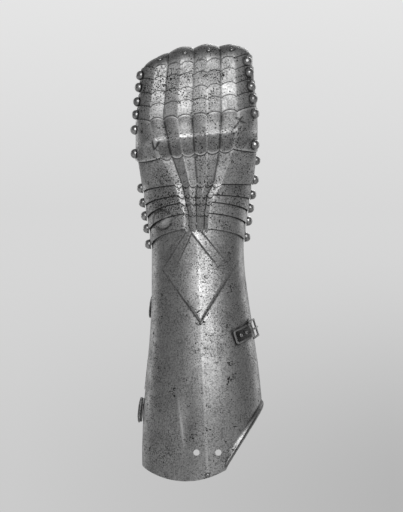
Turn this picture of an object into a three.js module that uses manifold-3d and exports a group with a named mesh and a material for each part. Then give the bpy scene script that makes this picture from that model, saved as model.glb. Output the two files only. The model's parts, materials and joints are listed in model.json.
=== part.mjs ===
// A left-hand mitten gauntlet of plain polished steel, as worn in the field: a long cuff that
// opens on hinges and closes with a buckle, four wrist lames, a hand plate, a knuckle plate,
// five finger lames and a jointed thumb. Every lame turns on a pair of side rivets.
// Millimetres. +Z runs from the elbow to the fingertips, -Y is the back of the hand and +X the
// thumb side. The origin is where the forearm's axis meets the elbow end.
import * as THREE from "three";
import { mergeVertices } from "three/addons/utils/BufferGeometryUtils.js";
import Module from "manifold-3d";

const wasm = await Module();
wasm.setup();
const { degToRad, lerp, clamp, smoothstep } = THREE.MathUtils;
const quarterTurn = Math.PI / 2;

// Steel, fits and cuts
const plateThickness = 0.9;
const fingerGap = 0.4;
const wristGap = 1.1;
const clearance = 0.3;
const cutOverrun = 2;
const normalStep = 0.01;
const fingerStep = plateThickness + fingerGap;
const wristStep = plateThickness + wristGap;
const wristLames = 4;
const wristDrop = wristStep * (wristLames + 1);

// Heights along the arm, from the elbow end to the pivots on the middle line
const cuffLength = 240.9;
const wristRun = 58.1;
const wristPivotShares = [0, 0.28, 0.505, 0.74, 1];
const handLength = 33.7;
const knuckleLength = 27.8;
const fingerRun = 54.3;
const fingerPivotShares = [0, 0.276, 0.514, 0.779, 1];
const wristPivots = wristPivotShares.map((share) => cuffLength + wristRun * share);
const handPivot = cuffLength + wristRun + handLength;
const fingerPivots = fingerPivotShares.map((share) => handPivot + knuckleLength + fingerRun * share);

// Slopes of the pivot lines and of the rows of lame edges, rising towards the thumb
const wristTilt = 0.075;
const fingerTilt = 0.136;
const edgeTilt = 0.108;

// The back of the hand at the knuckles, measured outside the knuckle plate
const knuckleMiddle = -2;
const knuckleLeftWidth = 61;
const knuckleRightWidth = 62.5;
const knuckleHeight = 49.5;
const leftShoulderDepth = 20;
const rightShoulderDepth = 30;
const leftSquareness = 3;
const rightSquareness = 2.5;
const fingerCurlRadius = 227;
const fingerPivotDrop = 16;
const fingerCheekDepth = 34;

// The wrist end of the hand plate
const wristMiddle = -0.5;
const wristHalfWidth = 57.1;
const wristHeight = 47;
const wristSquareness = 2.1;
const handCheekReach = 8;
const wristCheekReach = 9;

// Edges and overlaps of the lames
const earReach = 5;
const knuckleEarReach = 7;
const fingerEdgeRise = 3.6;
const scallop = 2.2;
const fingerTailDrop = 1.5;
const tailDip = 0.5;
const wristEdgeRise = 11.6;
const wristEdgeRiseShares = [1, 1, 0.82, 0.26, -0.17];
const wristOverlap = 6;
const wristScallop = 1;
const handEdgeDrop = 4.2;

// The fan of flutes: seven lines, ridges and valleys in turn, from the cuff to the fingertips
const lineShares = [-1, -0.68, -0.36, -0.025, 0.31, 0.64, 1];
const fanHalfWidth = 44;
const fluteDepth = 2.6;
const fanWidthShares = { cuff: 0.273, wrist: 0.409, heel: 0.545, hand: 0.841, knuckle: 1, tip: 0.909 };
const fanMiddleShares = { cuff: -0.01, wrist: -0.04, heel: 0, hand: -0.04, knuckle: -0.08, tip: -0.047 };
const fluteShares = { cuff: 0.154, wrist: 0.308, heel: 0.462, hand: 0.846, knuckle: 1, tip: 1 };
const facets = lineShares.length - 1;

// Knuckle crest: height of the roll over the back of the hand, and its run along the plate
const crestRise = 7.5;
const crestShares = [
  [0, 0],
  [0.22, 0.5],
  [0.4, 0.93],
  [0.46, 1],
  [0.53, 0.94],
  [0.76, 0.5],
  [1, 0],
];

// Tip lame: how far each lobe rises over the last row, and how far it curls back
const tipRise = 21.5;
const tipRiseShares = [0.15, 0.64, 0.79, 1, 0.865, 1, 0.79, 0.79, 0.16];
const lobeBow = 1;
const tipCurl = 24;
const tipCurlAngle = 100;
const tipNarrowShare = 0.06;

// Cuff
const cuffDrift = 10.3;
const cuffLeftWidth = 57.5;
const cuffRightWidth = 65.6;
const cuffHeight = 50.5;
const cuffPalmWrist = 36;
const cuffPalmElbow = 48;
const cuffLeftAngle = -125;
const cuffRightAngle = 112;
const cutBlendAngle = 2;
const cuffRidge = 1.5;
const elbowArcRadius = 82;
const elbowArcMiddle = -15;
const elbowCutStart = 27.2;
const elbowCutSlope = 1.53;
const rollWidth = 4.6;
const rollHeight = 1.8;
const laceHoleRadius = 3.1;
const laceHoleHeight = 29;
const laceHoleSpread = 10.9;
const laceMiddle = 9.4;

// Palm plate of the cuff
const palmPlateTop = 199.5;
const palmPlateLow = 34;
const palmPlateLowRight = 88;
const palmPlateRightAngle = 101;
const palmCutAngle = 4;
const palmStep = plateThickness + fingerGap;

// Rivets
const rivetHeadRadius = 4.9;
const rivetHeadHeight = 4.8;
const rivetShankRadius = 1.5;
const rivetTailRadius = 2.5;
const rivetTailHeight = 0.6;
const smallHeadRadius = 2;
const smallHeadHeight = 1.2;
const smallShankRadius = 0.9;
const smallTailRadius = 1.5;

// Hinges of the palm plate
const hingeHeights = [67, 172];
const hingeAngles = [-92, -110];
const hingeLengths = [24, 20];
const hingeKnuckleRadius = 2.1;
const hingePinRadius = 0.9;
const hingeLeafThickness = 0.8;
const hingeLeafWidth = 9;

// Buckle and strap
const buckleHeight = 146;
const buckleAngle = 50;
const buckleTilt = 17;
const buckleFall = 15;
const chapeLength = 25;
const chapeWidth = 14.5;
const chapeThickness = 1.2;
const chapeRim = 1.5;
const chapeRecess = 0.4;
const chapeRivetShares = [-0.14, 0.2];
const buckleBar = 1.6;
const buckleEyeWall = 0.9;
const buckleReach = 12;
const buckleRim = 2.2;
const tongueWidth = 2.2;
const tongueThickness = 1;
const strapWidth = 11;
const strapLength = 76;
const strapThickness = 2.2;
const strapAngle = 122;
const strapTop = 161;
const strapRivetInset = 6;

// Thumb
const thumbRootDrop = 16.7;
const thumbRootForward = 12;
const thumbReach = 48;
const thumbRise = 37;
const thumbTuck = 1.7;
const thumbRadius = 15;
const thumbTipRadius = 12.5;
const thumbArc = 92;
const thumbPivotArc = 80;
const thumbTipLength = 30;
const thumbTipCloseShare = 0.94;
const thumbPivotShare = 0.88;
const thumbTailShare = 0.8;
const thumbRivetDrop = 9.7;
const thumbRivetLine = 7.6;

// Small rivets: places on the tip lame in lines and share of its length, and one on the cuff
const tipRivetLines = [0.35, 2.3, 4.1, 5.8];
const tipRivetShare = 0.62;
const edgeRivetHeight = 6.7;
const liningRivetHeight = 158.4;
const liningRivetAside = 16.3;

const steel = { color: 0x8c8c8c, roughness: 0.38, metalness: 0.95 };
const darkSteel = { color: 0x4c4c4c, roughness: 0.5, metalness: 0.9 };
const leather = { color: 0x4a3526, roughness: 0.75, metalness: 0 };
const gauntlet = new THREE.Group();

function addMesh(name, solid, finish) {
  const mesh = new THREE.Mesh(geometryOf(solid), new THREE.MeshStandardMaterial(finish));
  mesh.name = name;
  gauntlet.add(mesh);
}

// Solids and cuts

// The solid inside a closed geometry, whose doubled vertices and empty triangles are dropped.
function solidOf(geometry) {
  const bare = geometry.clone();
  bare.deleteAttribute("normal");
  bare.deleteAttribute("uv");
  const merged = mergeVertices(bare, normalStep / 10);
  const faces = [];
  for (let i = 0; i < merged.index.count; i += 3) {
    const [a, b, c] = [0, 1, 2].map((corner) => merged.index.getX(i + corner));
    if (a !== b && b !== c && c !== a) faces.push(a, b, c);
  }
  const mesh = new wasm.Mesh({
    numProp: 3,
    vertProperties: merged.attributes.position.array,
    triVerts: new Uint32Array(faces),
  });
  return new wasm.Manifold(mesh);
}

function geometryOf(solid) {
  const mesh = solid.getMesh();
  const positions = new Float32Array(mesh.numVert * 3);
  for (let i = 0; i < mesh.numVert; i++) {
    positions.set(mesh.vertProperties.subarray(i * mesh.numProp, i * mesh.numProp + 3), i * 3);
  }
  const geometry = new THREE.BufferGeometry();
  geometry.setAttribute("position", new THREE.BufferAttribute(positions, 3));
  geometry.setIndex(new THREE.BufferAttribute(new Uint32Array(mesh.triVerts), 1));
  geometry.computeVertexNormals();
  return geometry;
}

// A closed wall between two grids of points, given as rows of equal length.
function wallBetween(outer, inner) {
  const rows = outer.length;
  const columns = outer[0].length;
  const points = [...outer.flat(), ...inner.flat()];
  const at = (side, i, j) => side * rows * columns + i * columns + j;
  const faces = [];
  const quad = (a, b, c, d) => faces.push(a, b, c, a, c, d);
  for (let i = 0; i + 1 < rows; i++) {
    for (let j = 0; j + 1 < columns; j++) {
      quad(at(0, i, j), at(0, i, j + 1), at(0, i + 1, j + 1), at(0, i + 1, j));
      quad(at(1, i, j), at(1, i + 1, j), at(1, i + 1, j + 1), at(1, i, j + 1));
    }
  }
  for (let j = 0; j + 1 < columns; j++) {
    quad(at(0, 0, j), at(1, 0, j), at(1, 0, j + 1), at(0, 0, j + 1));
    quad(at(0, rows - 1, j), at(0, rows - 1, j + 1), at(1, rows - 1, j + 1), at(1, rows - 1, j));
  }
  for (let i = 0; i + 1 < rows; i++) {
    quad(at(0, i, 0), at(0, i + 1, 0), at(1, i + 1, 0), at(1, i, 0));
    quad(at(0, i, columns - 1), at(1, i, columns - 1), at(1, i + 1, columns - 1), at(0, i + 1, columns - 1));
  }
  const geometry = new THREE.BufferGeometry();
  const flat = points.flatMap((p) => [p.x, p.y, p.z]);
  geometry.setAttribute("position", new THREE.Float32BufferAttribute(flat, 3));
  geometry.setIndex(faces);
  return solidOf(geometry);
}

// The outward normal of a surface point(across, along) whose back faces -Y.
function normalOf(point, across, along) {
  const right = point(across + normalStep, along).sub(point(across - normalStep, along));
  const up = point(across, along + normalStep).sub(point(across, along - normalStep));
  return right.cross(up).normalize();
}

function sheet(point, columns, rows, thickness = plateThickness) {
  const outer = rows.map((along) => columns.map((across) => point(across, along)));
  const inner = rows.map((along, i) =>
    columns.map((across, j) => {
      return outer[i][j].clone().addScaledVector(normalOf(point, across, along), -thickness);
    }),
  );
  return wallBetween(outer, inner);
}

// Turns and moves a solid that stands on the origin along +Y.
function stood(solid, place, direction) {
  const turn = new THREE.Quaternion().setFromUnitVectors(new THREE.Vector3(0, 1, 0), direction);
  return moved(solid, new THREE.Matrix4().compose(place, turn, new THREE.Vector3(1, 1, 1)));
}

function moved(solid, matrix) {
  const geometry = geometryOf(solid).applyMatrix4(matrix);
  const mesh = new wasm.Mesh({
    numProp: 3,
    vertProperties: geometry.attributes.position.array,
    triVerts: new Uint32Array(geometry.index.array),
  });
  return new wasm.Manifold(mesh);
}

// A turned solid whose axis points along a direction, from a profile of [radius, height].
function turned(profile, place, direction, sides = 10) {
  const geometry = new THREE.LatheGeometry(
    profile.map(([radius, height]) => new THREE.Vector2(radius, height)),
    sides,
  );
  return stood(solidOf(geometry), place, direction);
}

function drill(radius, depth, place, direction) {
  const profile = [
    [0, -depth],
    [radius, -depth],
    [radius, cutOverrun],
    [0, cutOverrun],
  ];
  return turned(profile, place, direction);
}

// A rivet with a domed head outside, its shank through the plates and a peened tail inside.
function rivetSolid(place, direction, grip, small = false) {
  const head = small ? smallHeadRadius : rivetHeadRadius;
  const rise = small ? smallHeadHeight : rivetHeadHeight;
  const shank = small ? smallShankRadius : rivetShankRadius;
  const tail = small ? smallTailRadius : rivetTailRadius;
  const seat = clearance;
  const under = -grip - clearance;
  const profile = [
    [0, under - rivetTailHeight],
    [tail, under - rivetTailHeight],
    [tail, under],
    [shank, under],
    [shank, seat],
    [head, seat],
    [head * 0.92, seat + rise * 0.4],
    [head * 0.6, seat + rise * 0.82],
    [0, seat + rise],
  ];
  return turned(profile, place, direction, small ? 8 : 10);
}

// Cross-sections of the hand and arm

// One side of a cross-section: half-width, depth from the crown to the side, and squareness.
const sideOf = (width, depth, square) => ({ width, depth, square });

function insetSide(side, by) {
  return sideOf(side.width - by, side.depth - by, side.square);
}

function insetSection(section, by) {
  return {
    middle: section.middle,
    crown: section.crown + by,
    left: insetSide(section.left, by),
    right: insetSide(section.right, by),
  };
}

function blendSide(a, b, share) {
  const between = (key) => lerp(a[key], b[key], share);
  return sideOf(between("width"), between("depth"), between("square"));
}

function blendSections(a, b, share) {
  return {
    middle: lerp(a.middle, b.middle, share),
    crown: lerp(a.crown, b.crown, share),
    left: blendSide(a.left, b.left, share),
    right: blendSide(a.right, b.right, share),
  };
}

// The point of a section at an angle from its crown, negative to the left.
function roundPoint(section, angle) {
  const side = angle < 0 ? section.left : section.right;
  const power = 2 / side.square;
  const across = side.width * Math.abs(Math.sin(angle)) ** power;
  const down = side.depth * (1 - Math.abs(Math.cos(angle)) ** power);
  return [section.middle + Math.sign(angle) * across, section.crown + down];
}

function angleAtX(section, x) {
  const side = x < section.middle ? section.left : section.right;
  const share = Math.abs(x - section.middle) / side.width;
  return Math.sign(x - section.middle) * Math.asin(Math.min(1, share ** (side.square / 2)));
}

function angleAtDrop(side, drop) {
  return Math.acos((1 - drop / side.depth) ** (side.square / 2));
}

// The outer skin of the fingers, which curls towards the palm past the knuckle plate.
function fingerSection(z) {
  const past = Math.max(0, z - (fingerPivots[0] + fingerEdgeRise));
  return {
    middle: knuckleMiddle,
    crown: -knuckleHeight + (past * past) / (2 * fingerCurlRadius),
    left: sideOf(knuckleLeftWidth, leftShoulderDepth, leftSquareness),
    right: sideOf(knuckleRightWidth, rightShoulderDepth, rightSquareness),
  };
}

const wristSide = sideOf(wristHalfWidth, wristHeight, wristSquareness);
const wristSection = { middle: wristMiddle, crown: -wristHeight, left: wristSide, right: wristSide };
const handEdge = handPivot - handEdgeDrop;
const heelEdge = wristPivots[4] + wristEdgeRise * wristEdgeRiseShares[4];

function handSection(z) {
  const share = clamp((handEdge - z) / (handEdge - heelEdge), 0, 1);
  return blendSections(insetSection(fingerSection(z), fingerStep), wristSection, share);
}

// The flutes run on seven lines. A place across a plate is counted in lines, 0 to 6, then to
// -1 and 7 at the widest points of the two sides, and to -2 and 8 at the ends of the cheeks.
const fanHeights = {
  cuff: cuffLength + wristEdgeRise,
  wrist: wristPivots[3] + wristEdgeRise * wristEdgeRiseShares[3],
  heel: heelEdge,
  hand: handEdge,
  knuckle: fingerPivots[0] + fingerEdgeRise,
  tip: fingerPivots[4] + fingerEdgeRise,
};
const fanNames = ["cuff", "wrist", "heel", "hand", "knuckle", "tip"];

function fanValue(table, z) {
  for (let i = 0; i + 1 < fanNames.length; i++) {
    const [low, high] = [fanNames[i], fanNames[i + 1]];
    if (z <= fanHeights[high] || i + 2 === fanNames.length) {
      const share = clamp((z - fanHeights[low]) / (fanHeights[high] - fanHeights[low]), 0, 1);
      return lerp(table[low], table[high], share);
    }
  }
}

function lineX(line, z) {
  const below = clamp(Math.floor(line), 0, 5);
  const share = lerp(lineShares[below], lineShares[below + 1], line - below);
  return knuckleLeftWidth * fanValue(fanMiddleShares, z) + share * fanHalfWidth * fanValue(fanWidthShares, z);
}

function angleOfLine(section, line, z) {
  const inside = clamp(line, 0, 6);
  const angle = angleAtX(section, lineX(inside, z));
  if (line < 0) return lerp(angle, -quarterTurn, Math.min(1, -line));
  return line > 6 ? lerp(angle, quarterTurn, Math.min(1, line - 6)) : angle;
}

function lineOfAngle(section, angle, z) {
  const first = angleAtX(section, lineX(0, z));
  const last = angleAtX(section, lineX(6, z));
  if (angle < first) return (first - angle) / (-quarterTurn - first);
  return angle > last ? 6 + (angle - last) / (quarterTurn - last) : undefined;
}

// 1 on a ridge, -1 in a valley, fading to 0 at the sides.
function ridgeShare(line) {
  if (line < 0) return Math.max(0, 1 + line);
  if (line > 6) return Math.max(0, 7 - line);
  return 1 - 2 * Math.abs((line % 2) - (line % 2 > 1 ? 2 : 0));
}

// A bow of each facet's edge between two lines, 0 on the lines and 1 half way.
function bow(line) {
  if (line <= -1 || line >= 7) return 0;
  const share = line - Math.floor(line);
  return 4 * share * (1 - share);
}

// A plate edge: its middle height and slope over the back, and its heights at the two sides.
function edgeHeight(edge, x, angle) {
  const aside = 1 - Math.cos(clamp(angle, -quarterTurn, quarterTurn));
  return lerp(edge.middle + edge.tilt * x, angle < 0 ? edge.left : edge.right, aside);
}

// The heights of a plate's two edges at a place across it.
function edgesAt(plate, line) {
  const middleHeight = (plate.low.middle + plate.high.middle) / 2;
  const reference = plate.section(middleHeight);
  const angle = angleOfLine(reference, line, middleHeight);
  const x = roundPoint(reference, angle)[0];
  const bowOf = (edge) => (edge.everyFacet || (line > 0 && line < 6) ? bow(line) * edge.scallop : 0);
  return {
    low: edgeHeight(plate.low, x, angle) - bowOf(plate.low),
    high: edgeHeight(plate.high, x, angle) + bowOf(plate.high),
  };
}

// A surface point of a plate, by line and by share of its length from low to high edge.
function platePoint(plate, line, share) {
  const { low, high } = edgesAt(plate, line);
  return skinPoint(plate, line, lerp(low, high, share), share);
}

function skinPoint(plate, line, z, share) {
  const section = plate.section(z);
  const angle = angleOfLine(section, line, z);
  const [x, y] = roundPoint(section, angle);
  const beyond = Math.max(-1 - line, line - 7, 0);
  if (beyond > 0) return new THREE.Vector3(x, lerp(y, plate.cheek(z), beyond), z);
  const relief = (ridgeShare(line) * fluteDepth * fanValue(fluteShares, z)) / 2;
  const roll = plate.rise ? plate.rise(share) * (1 - Math.abs(Math.sin(angle)) ** 6) : 0;
  const dip = plate.dip ? plate.dip(share) * Math.cos(angle) : 0;
  return new THREE.Vector3(x, y - relief - roll + dip, z);
}

// The place and normal on a plate at an angle and height.
function seatOn(plate, angle, z) {
  const line = lineOfAngle(plate.section(z), angle, z);
  const { low, high } = edgesAt(plate, line);
  return seatOf((across, along) => platePoint(plate, across, along), line, (z - low) / (high - low));
}

function seatOf(point, across, along) {
  return { place: point(across, along), direction: normalOf(point, across, along) };
}

// The plates of the hand, from the knuckle plate to both ends

const facetLines = (steps) => Array.from({ length: facets * steps + 1 }, (_, i) => i / steps);
const plateColumns = [-2, -1, -0.8, -0.55, -0.25, ...facetLines(2), 6.2, 6.4, 6.6, 6.8, 7, 8];
const plates = {};
const leftX = knuckleMiddle - knuckleLeftWidth;
const rightX = knuckleMiddle + knuckleRightWidth;

function fingerPivotEnds(level) {
  const z = fingerPivots[level];
  return { left: z + fingerTilt * leftX, right: z + fingerTilt * (rightX - fingerStep * 3) };
}

function fingerHighEdge(level) {
  const ends = fingerPivotEnds(level);
  return {
    middle: fingerPivots[level] + fingerEdgeRise,
    tilt: edgeTilt,
    left: ends.left + (level ? earReach : knuckleEarReach),
    right: ends.right + earReach,
    scallop,
    everyFacet: true,
  };
}

function fingerLowEdge(level) {
  const ends = fingerPivotEnds(level);
  return {
    middle: fingerPivots[level] - fingerTailDrop,
    tilt: fingerTilt,
    left: ends.left - earReach,
    right: ends.right - earReach,
    scallop: 0,
  };
}

const handPivotEnds = { left: handPivot + wristTilt * leftX, right: handPivot + wristTilt * rightX };
const fingerCheek = (z) => fingerSection(z).crown + fingerCheekDepth;

function crestAt(share) {
  for (let i = 1; i < crestShares.length; i++) {
    const [from, rise] = crestShares[i - 1];
    const [to, nextRise] = crestShares[i];
    if (share <= to || i + 1 === crestShares.length) {
      return crestRise * lerp(rise, nextRise, clamp((share - from) / (to - from), 0, 1));
    }
  }
}

plates.knuckle_plate = {
  section: fingerSection,
  low: {
    middle: handEdge,
    tilt: edgeTilt,
    left: handPivotEnds.left - earReach,
    right: handPivotEnds.right - earReach,
    scallop: scallop,
    everyFacet: true,
  },
  high: fingerHighEdge(0),
  cheek: fingerCheek,
  rise: crestAt,
  rows: crestShares.map(([share]) => share),
};

for (let level = 1; level <= 4; level++) {
  plates[`finger_lame_${6 - level}`] = {
    section: (z) => insetSection(fingerSection(z), fingerStep * level),
    low: fingerLowEdge(level - 1),
    high: fingerHighEdge(level),
    cheek: (z) => fingerCheek(z) + fingerStep * level,
    dip: (share) => tailDip * Math.max(0, 1 - share * 3),
    rows: [0, 0.35, 0.7, 1],
  };
}

plates.hand_plate = {
  section: handSection,
  low: {
    middle: heelEdge,
    tilt: 0,
    left: wristPivots[4] + wristTilt * (wristMiddle - wristHalfWidth) - earReach,
    right: wristPivots[4] + wristTilt * (wristMiddle + wristHalfWidth) - earReach,
    scallop: wristScallop,
  },
  high: {
    middle: handPivot + earReach,
    tilt: wristTilt,
    left: handPivotEnds.left + earReach,
    right: handPivotEnds.right + earReach,
    scallop: 0,
  },
  cheek: () => handCheekReach,
  rows: [0, 0.18, 0.4, 0.62, 0.8, 1],
};

// Wrist lame 1 lies next to the hand plate and 4 next to the cuff.
for (let lame = 1; lame <= wristLames; lame++) {
  const below = wristLames - lame;
  const above = below + 1;
  const halfWidth = wristHalfWidth - wristStep * lame;
  const ends = (pivot, reach) => ({
    left: wristPivots[pivot] + wristTilt * (wristMiddle - halfWidth) + reach,
    right: wristPivots[pivot] + wristTilt * (wristMiddle + halfWidth) + reach,
  });
  plates[`wrist_lame_${lame}`] = {
    section: () => insetSection(wristSection, wristStep * lame),
    low: {
      middle: wristPivots[below] + wristEdgeRise * wristEdgeRiseShares[below],
      tilt: 0,
      ...ends(below, -earReach),
      scallop: wristScallop,
    },
    high: {
      middle: wristPivots[above] + wristEdgeRise * wristEdgeRiseShares[above] + wristOverlap,
      tilt: 0,
      ...ends(above, earReach),
      scallop: 0,
    },
    cheek: () => wristCheekReach,
    rows: [0, 0.33, 0.67, 1],
  };
}

// The tip lame rises to a lobe on each finger and curls over towards the palm.
const tipLevel = 5;
const tipPlate = {
  section: (z) => insetSection(fingerSection(z), fingerStep * tipLevel),
  low: fingerLowEdge(tipLevel - 1),
  high: { ...fingerHighEdge(tipLevel - 1), scallop: 0 },
  cheek: (z) => fingerCheek(z) + fingerStep * tipLevel,
  dip: (share) => tailDip * Math.max(0, 1 - share * 2),
};

function tipRiseAt(line) {
  const last = tipRiseShares.length - 1;
  const place = clamp(line + 1, 0, last);
  const below = Math.min(last - 1, Math.floor(place));
  return tipRise * lerp(tipRiseShares[below], tipRiseShares[below + 1], place - below);
}

const curlStart = 0.4;
function tipPoint(line, share) {
  if (share <= curlStart) return platePoint(tipPlate, line, share / curlStart);
  const base = platePoint(tipPlate, line, 1);
  const turn = degToRad(tipCurlAngle) * ((share - curlStart) / (1 - curlStart));
  const rimY = tipPlate.section(base.z).crown + tipCurl;
  const back = Math.max(0, rimY - base.y) * (1 - Math.cos(turn));
  const lift = (tipRiseAt(line) + lobeBow * bow(line)) * Math.sin(turn);
  const narrow = 1 - tipNarrowShare * (1 - Math.cos(turn));
  return new THREE.Vector3(
    knuckleMiddle + (base.x - knuckleMiddle) * narrow,
    base.y + back,
    base.z + lift,
  );
}

// Cuff

function cuffSection(z) {
  const share = (cuffLength - z) / cuffLength;
  const middle = wristMiddle + cuffDrift * Math.max(0, share);
  const wristWidth = wristHalfWidth - wristDrop;
  const left = lerp(wristWidth - wristMiddle, cuffLeftWidth, smoothstep(share, 0.2, 0.9)) + middle;
  const right = lerp(wristWidth + wristMiddle, cuffRightWidth, smoothstep(share, 0, 0.75)) - middle;
  const height = lerp(wristHeight - wristDrop, cuffHeight, smoothstep(share, -0.05, 0.75));
  const palm = lerp(cuffPalmWrist, cuffPalmElbow, smoothstep(share, 0, 0.8));
  const side = (width) => sideOf(width, height, wristSquareness);
  return { middle, crown: -height, left: side(left), right: side(right), palm };
}

// A point round the whole arm: past a quarter turn it follows the palm side.
function armPoint(z, angle, outward = 0) {
  const whole = cuffSection(z);
  const section = { ...insetSection(whole, -outward), palm: whole.palm + outward };
  const [x, y] = roundPoint(section, angle);
  const side = angle < 0 ? section.left : section.right;
  const beyond = Math.abs(angle) > quarterTurn;
  const palmY = section.palm * Math.abs(Math.cos(angle)) ** (2 / side.square);
  const ridge = cuffRidge * smoothstep(cuffLength - z, cuffLength / 3, cuffLength) * Math.cos(angle) ** 16;
  return new THREE.Vector3(x, beyond ? section.crown + side.depth + palmY : y - ridge, z);
}

const cuffCorner = Math.asin((elbowCutStart - cuffSection(0).middle) / cuffSection(0).right.width);
const cuffHead = {
  middle: wristPivots[0] + wristEdgeRise + wristOverlap,
  tilt: 0,
  left: wristPivots[0] + wristTilt * (wristMiddle - wristHalfWidth) + earReach,
  right: wristPivots[0] + wristTilt * (wristMiddle + wristHalfWidth) + earReach,
};

function elbowEdge(angle) {
  const x = roundPoint(cuffSection(0), clamp(angle, -quarterTurn, quarterTurn))[0];
  const arc = (edgeX) => (edgeX - elbowArcMiddle) ** 2 / (2 * elbowArcRadius);
  if (angle <= cuffCorner) return arc(x);
  return arc(elbowCutStart) + (x - elbowCutStart) * elbowCutSlope;
}

function cuffPoint(angle, share) {
  const low = elbowEdge(angle);
  const high = edgeHeight(cuffHead, 0, angle);
  const z = lerp(low, high, share);
  const fromEdge = (z - low) / rollWidth;
  const onCut = smoothstep(angle, cuffCorner - degToRad(cutBlendAngle), cuffCorner);
  const roll = fromEdge < 1 ? rollHeight * Math.sqrt(clamp(1 - (fromEdge * 2 - 1) ** 2, 0, 1)) : 0;
  return armPoint(z, angle, roll * onCut);
}

// Both hinge pins lie on one line outside the joint between the cuff and its palm plate. The
// joint runs under that line, from the side of the elbow round to the palm side of the wrist.
const hingePlaces = hingeHeights.map((height, i) => {
  const outside = (angle, z) => armPoint(z, angle, palmStep);
  const { place, direction } = seatOf(outside, degToRad(hingeAngles[i]), height);
  return { place: place.addScaledVector(direction, clearance + hingeKnuckleRadius), direction };
});
const [lowerPin, upperPin] = hingePlaces.map(({ place }) => place);
const hingeAxis = upperPin.clone().sub(lowerPin).normalize();

// A block along the joint, whose middle lies a distance to the palm side of it.
function besideJoint(distance) {
  const slant = (upperPin.y - lowerPin.y) / (upperPin.z - lowerPin.z);
  const geometry = new THREE.BoxGeometry(cuffLeftWidth, cuffPalmElbow, palmPlateTop * 3);
  geometry.translate(-cuffLeftWidth, distance, 0);
  geometry.rotateX(-Math.atan(slant));
  geometry.translate(0, lowerPin.y - lowerPin.z * slant, 0);
  return solidOf(geometry);
}

function cuffSolid() {
  const angles = [];
  for (let step = 0; step <= 11; step++) angles.push(lerp(degToRad(cuffLeftAngle), cuffCorner, step / 11));
  for (let step = 1; step <= 9; step++) angles.push(lerp(cuffCorner, degToRad(cuffRightAngle), step / 9));
  const roll = rollWidth / cuffLength;
  const rows = [0, roll * 0.25, roll * 0.6, roll, 0.1, 0.2, 0.31, 0.42, 0.53, 0.64, 0.75, 0.86, 0.93, 1];
  let cuff = sheet(cuffPoint, angles, rows);
  const below = new THREE.BoxGeometry(cuffLeftWidth * 2, cuffPalmElbow * 4, palmPlateTop * 2);
  const palmSide = besideJoint(cuffPalmElbow / 2).intersect(solidOf(below));
  cuff = cuff.subtract(palmSide);
  for (const side of [-1, 1]) {
    const hole = new THREE.Vector3(laceMiddle + side * laceHoleSpread, -cuffHeight, laceHoleHeight);
    cuff = cuff.subtract(drill(laceHoleRadius, cuffHeight / 2, hole, new THREE.Vector3(0, -1, 0)));
  }
  return cuff;
}

// The palm plate closes the cuff: it meets it edge to edge at the hinges and laps it outside
// under the buckle.
function palmPoint(angle, share) {
  const x = armPoint(palmPlateLow, angle).x;
  const spread = (x + cuffLeftWidth) / (cuffLeftWidth + cuffRightWidth);
  const low = lerp(palmPlateLow, palmPlateLowRight, spread);
  const turn = angle > Math.PI ? angle - 2 * Math.PI : angle;
  return armPoint(lerp(low, palmPlateTop - clearance, share), turn, palmStep);
}

function palmSolid() {
  const last = 3 * quarterTurn + degToRad(palmCutAngle);
  const angles = [];
  for (let step = 0; step <= 16; step++) angles.push(lerp(degToRad(palmPlateRightAngle), last, step / 16));
  const plate = sheet(palmPoint, angles, [0, 0.2, 0.4, 0.6, 0.8, 1]);
  return plate.subtract(besideJoint(clearance - cuffPalmElbow / 2));
}

// Build the plates, drill each pivot through its two plates and set its rivets

const solids = {};
for (const [name, plate] of Object.entries(plates)) {
  solids[name] = sheet((line, share) => platePoint(plate, line, share), plateColumns, plate.rows);
}
solids.tip_lame = sheet(tipPoint, plateColumns, [0, 0.2, curlStart, 0.52, 0.64, 0.76, 0.88, 1]);
plates.tip_lame = tipPlate;
solids.cuff = cuffSolid();
solids.palm_plate = palmSolid();

const rivets = {};
const tailTries = 16;

// Drills the plates and sets a rivet. Its tail goes in until it clears the inner plate, and that
// of a pivot then gets play to turn with.
function setRivet(name, seat, grip, through, small = false) {
  const shank = small ? smallShankRadius : rivetShankRadius;
  for (const plate of through) {
    const hole = drill(shank + clearance, grip + cutOverrun, seat.place, seat.direction);
    solids[plate] = solids[plate].subtract(hole);
  }
  const play = small ? 0 : clearance;
  for (let tries = 0; tries < tailTries; tries++) {
    const reach = grip + (tries * clearance) / 2;
    const tight = rivetSolid(seat.place, seat.direction, reach, small);
    rivets[name] = rivetSolid(seat.place, seat.direction, reach + play, small);
    if (through.every((plate) => solids[plate].intersect(tight).isEmpty())) return;
  }
}

function setPair(name, outer, inner, pivot, tilt, drop, step) {
  for (const side of ["left", "right"]) {
    const sign = side === "left" ? -1 : 1;
    const section = plates[outer].section(pivot);
    const angle = sign * (drop ? angleAtDrop(section[side], drop) : quarterTurn * 0.999);
    const x = roundPoint(section, angle)[0];
    const z = pivot + tilt * x;
    const seat = seatOn(plates[outer], angle, z);
    const under = plates[inner] ? seatOn(plates[inner], angle, z).place : undefined;
    const depth = under ? seat.place.clone().sub(under).dot(seat.direction) : step;
    setRivet(`${name}_rivet_${side}`, seat, plateThickness + Math.max(step, depth), [outer, inner]);
  }
}

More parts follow.
